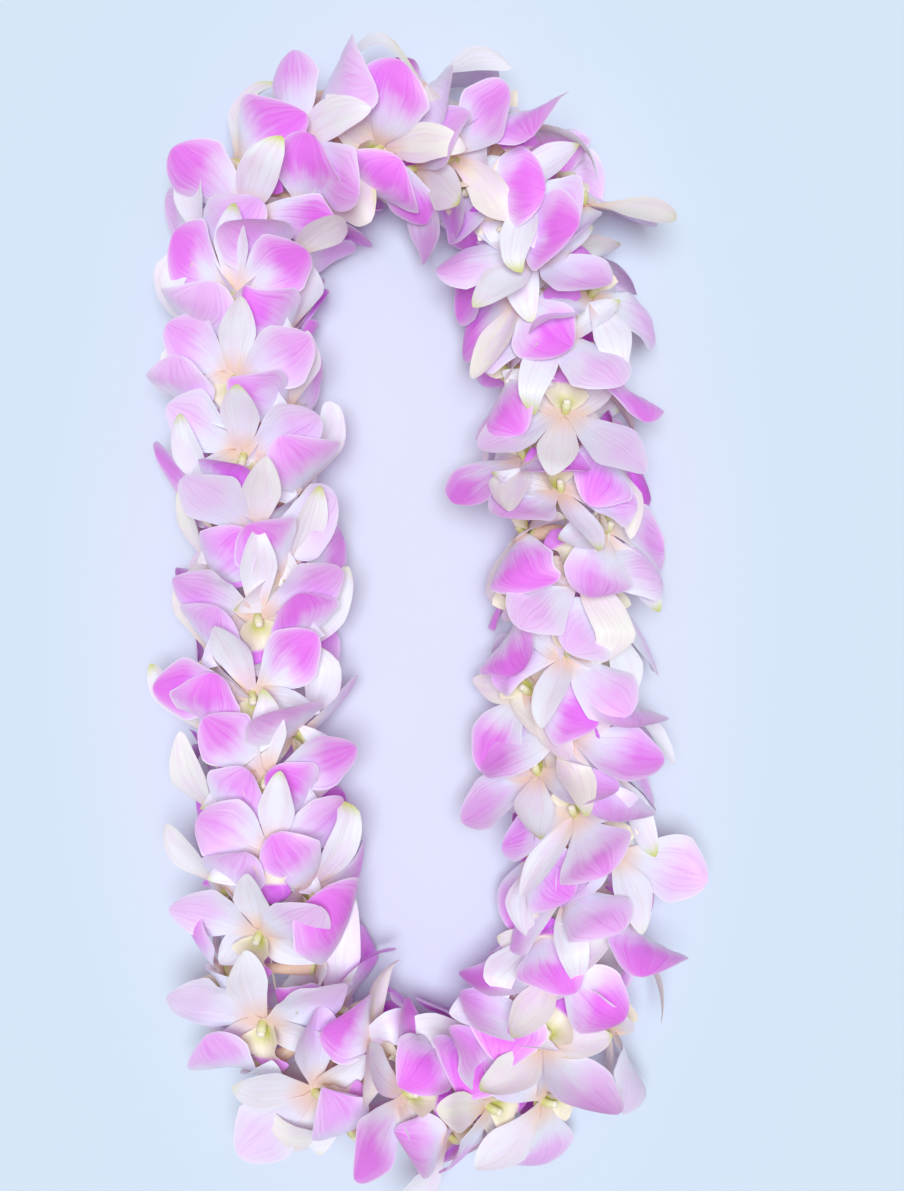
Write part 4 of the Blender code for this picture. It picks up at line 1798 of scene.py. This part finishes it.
@dataclass
class Thread:
    """The cotton thread, laid up in three plies."""

    loop: Loop
    radius: float = 0.5 * MILLIMETRE
    plies: int = 3
    twist_length: float = 5.0 * MILLIMETRE
    steps_per_twist: int = 6
    steps_per_ply: int = 4
    groove: float = 0.14

    def build(self) -> bpy.types.Object:
        """Sweep a section of rounded plies along the loop, turning as it goes.

        Returns:
            The thread.
        """
        bpy.ops.curve.primitive_bezier_circle_add(radius=self.radius)
        section = bpy.context.object
        section.name = "thread_section"
        section.data.splines.clear()
        outline = section.data.splines.new("POLY")
        around = self.steps_per_ply * self.plies
        outline.points.add(around - 1)
        for index, point in enumerate(outline.points):
            angle = FULL_TURN * index / around
            reach = self.radius * (1.0 - self.groove + self.groove * math.cos(self.plies * angle))
            point.co = (reach * math.cos(angle), reach * math.sin(angle), 0.0, 1.0)
        outline.use_cyclic_u = True
        turns = round(self.loop.length / self.twist_length)
        count = turns * self.steps_per_twist
        bpy.ops.curve.primitive_bezier_circle_add(radius=self.loop.half_width)
        thread = bpy.context.object
        thread.name = "lei_thread"
        thread.data.splines.clear()
        route = thread.data.splines.new("POLY")
        route.points.add(count - 1)
        for index, point in enumerate(route.points):
            middle = self.loop.read(self.loop.points, index * self.loop.length / count)
            point.co = (float(middle[0]), float(middle[1]), self.loop.height, 1.0)
            point.tilt = FULL_TURN * index / self.steps_per_twist
        route.use_cyclic_u = True
        thread.data.bevel_mode = "OBJECT"
        thread.data.bevel_object = section
        pick(thread)
        bpy.ops.object.convert(target="MESH")
        bpy.data.objects.remove(section, do_unlink=True)
        return thread

    def dress(self, thing: bpy.types.Object, cotton: bpy.types.Material) -> bpy.types.Object:
        """Give the thread its cotton."""
        return wear_cotton(thing, "thread", cotton)


@dataclass
class Knot:
    """The knot that closes the thread: two crossed turns round it and its two cut ends."""

    loop: Loop
    pairs: int = PAIRS
    ring_radius: float = 1.65 * MILLIMETRE
    strand_radius: float = 0.6 * MILLIMETRE
    tilt: float = math.radians(24.0)
    twist: float = math.radians(11.0)
    shift: float = 0.4 * MILLIMETRE
    tail_length: float = 5.0 * MILLIMETRE
    tail_slant: float = math.radians(-64.0)
    tail_width: float = 0.9
    splay: float = 1.15

    def build(self) -> bpy.types.Object:
        """Model the turns and the cut ends, and join them halfway between the first two pairs.

        Returns:
            The knot at its place.
        """
        station = self.loop.length / (2 * self.pairs)
        middle = self.loop.read(self.loop.points, station)
        ahead = self.loop.read(self.loop.tangents, station)
        along = Vector((float(ahead[0]), float(ahead[1]), 0.0)).to_track_quat("Z", "Y")
        place = Matrix.Translation((float(middle[0]), float(middle[1]), self.loop.height))
        place = place @ along.to_matrix().to_4x4()
        pieces = [self.wound(side) for side in (-1.0, 1.0)] + [self.tail(side) for side in (-1.0, 1.0)]
        knot = joined(pieces, "lei_knot")
        knot.matrix_world = place
        apply_place(knot)
        return knot

    def wound(self, side: float) -> bpy.types.Object:
        """Model one turn of the knot, tilted to its side.

        Args:
            side: Which of the two it is, -1 or 1.

        Returns:
            The turn.
        """
        bpy.ops.mesh.primitive_torus_add(
            major_segments=20,
            minor_segments=8,
            major_radius=self.ring_radius,
            minor_radius=self.strand_radius,
        )
        turn_of_knot = bpy.context.object
        turned = Matrix.Rotation(side * self.tilt, 4, "X") @ Matrix.Rotation(side * self.twist, 4, "Z")
        turn_of_knot.matrix_world = Matrix.Translation((0.0, 0.0, side * self.shift)) @ turned
        apply_place(turn_of_knot)
        return turn_of_knot

    def tail(self, side: float) -> bpy.types.Object:
        """Model one cut end, a little splayed where it was cut.

        Args:
            side: Which of the two it is, -1 or 1.

        Returns:
            The cut end.
        """
        thin, splayed = self.strand_radius * self.tail_width, self.strand_radius * self.splay
        bpy.ops.mesh.primitive_cone_add(vertices=8, radius1=thin, radius2=splayed, depth=self.tail_length)
        end = bpy.context.object
        out = Matrix.Translation((0.0, side * self.ring_radius, 0.0))
        slant = Matrix.Rotation(side * self.tail_slant, 4, "X")
        end.matrix_world = out @ slant @ Matrix.Translation((0.0, 0.0, self.tail_length / 2.0))
        apply_place(end)
        return end

    def dress(self, thing: bpy.types.Object, cotton: bpy.types.Material) -> bpy.types.Object:
        """Give the knot its cotton."""
        return wear_cotton(thing, "knot", cotton)


# ---------------------------------------------------------------------------------------------------
# The studio
# ---------------------------------------------------------------------------------------------------


@dataclass
class Studio:
    """The pale floor, the soft light and the camera overhead."""

    floor_size: float = 60.0
    camera_offset: tuple[float, float] = (18.4 * MILLIMETRE, 8.4 * MILLIMETRE)
    camera_height: float = 1.11
    lens: float = 75.0
    sky: Colour = (1.0, 0.69, 0.75)
    sky_strength: float = 0.35
    backdrop: Colour = tint(0.839, 0.906, 0.976)
    lamp_spread: float = math.radians(20.0)
    lamp_strength: float = 2.66
    lamp_colour: Colour = (0.872, 1.0, 1.038)
    bounces: int = 10

    def build(self) -> None:
        """Build the floor, the light and the camera."""
        self.floor()
        self.light()
        self.camera()

    def floor(self) -> None:
        """Lay the floor under the lei."""
        bpy.ops.mesh.primitive_plane_add(size=self.floor_size)
        ground = bpy.context.object
        ground.name = "floor"
        ground.data.materials.append(FloorFinish().material())

    def light(self) -> None:
        """Light the lei softly from overhead, under an even pale sky."""
        world = bpy.data.worlds.new("studio")
        world.use_nodes = True
        nodes, links = world.node_tree.nodes, world.node_tree.links
        sky = nodes["Background"]
        sky.inputs["Color"].default_value = (*self.sky, 1.0)
        sky.inputs["Strength"].default_value = self.sky_strength
        backdrop = nodes.new("ShaderNodeBackground")
        backdrop.inputs["Color"].default_value = (*self.backdrop, 1.0)
        seen = nodes.new("ShaderNodeLightPath")
        choice = nodes.new("ShaderNodeMixShader")
        links.new(seen.outputs["Is Camera Ray"], choice.inputs[0])
        links.new(sky.outputs[0], choice.inputs[1])
        links.new(backdrop.outputs[0], choice.inputs[2])
        links.new(choice.outputs[0], nodes["World Output"].inputs["Surface"])
        bpy.context.scene.world = world
        bpy.ops.object.light_add(type="SUN", location=(0.0, 0.0, self.camera_height))
        lamp = bpy.context.object
        lamp.name = "overhead"
        lamp.data.angle = self.lamp_spread
        lamp.data.energy = self.lamp_strength
        lamp.data.color = self.lamp_colour
        bpy.context.scene.view_settings.view_transform = "Standard"
        bpy.context.scene.view_settings.gamma = SCREEN_GAMMA
        bpy.context.scene.cycles.diffuse_bounces = self.bounces

    def camera(self) -> None:
        """Look straight down on the lei."""
        low, high = cad_box
        middle = (low + high) / 2.0
        place = (middle.x + self.camera_offset[0], middle.y + self.camera_offset[1], self.camera_height)
        bpy.ops.object.camera_add(location=place, rotation=(0.0, 0.0, 0.0))
        camera = bpy.context.object
        camera.name = "camera"
        camera.data.lens = self.lens
        bpy.context.scene.camera = camera


def main() -> None:
    """Build the looks of the lei and the studio round it."""
    logging.basicConfig(level=logging.INFO, format="%(name)s: %(message)s")
    finishes = {
        "petal": PetalFinish().material(),
        "sepal": SepalFinish().material(),
        "lip": LipFinish().material(),
        "heart": HeartFinish().material(),
    }
    seat = Seat()
    heart = Heart(depth=seat.distance)
    models = {habit: BlossomModel(habit, heart).build(finishes) for habit in Habit}
    for habit, model in models.items():
        log.info("%s blossom: %d faces", habit.value, len(model.data.polygons))
    loop = Loop()
    blossoms = Lei(models, loop, seat).build()
    for blossom in blossoms:
        log.info("%s: %d faces", blossom.name, len(blossom.data.polygons))
    for model in models.values():
        bpy.data.objects.remove(model, do_unlink=True)
    cotton = ThreadFinish().material()
    for maker in (Thread(loop), Knot(loop)):
        piece = maker.dress(maker.build(), cotton)
        log.info("%s: %d faces", piece.name, len(piece.data.polygons))
    Studio().build()


if __name__ == "__main__":
    main()
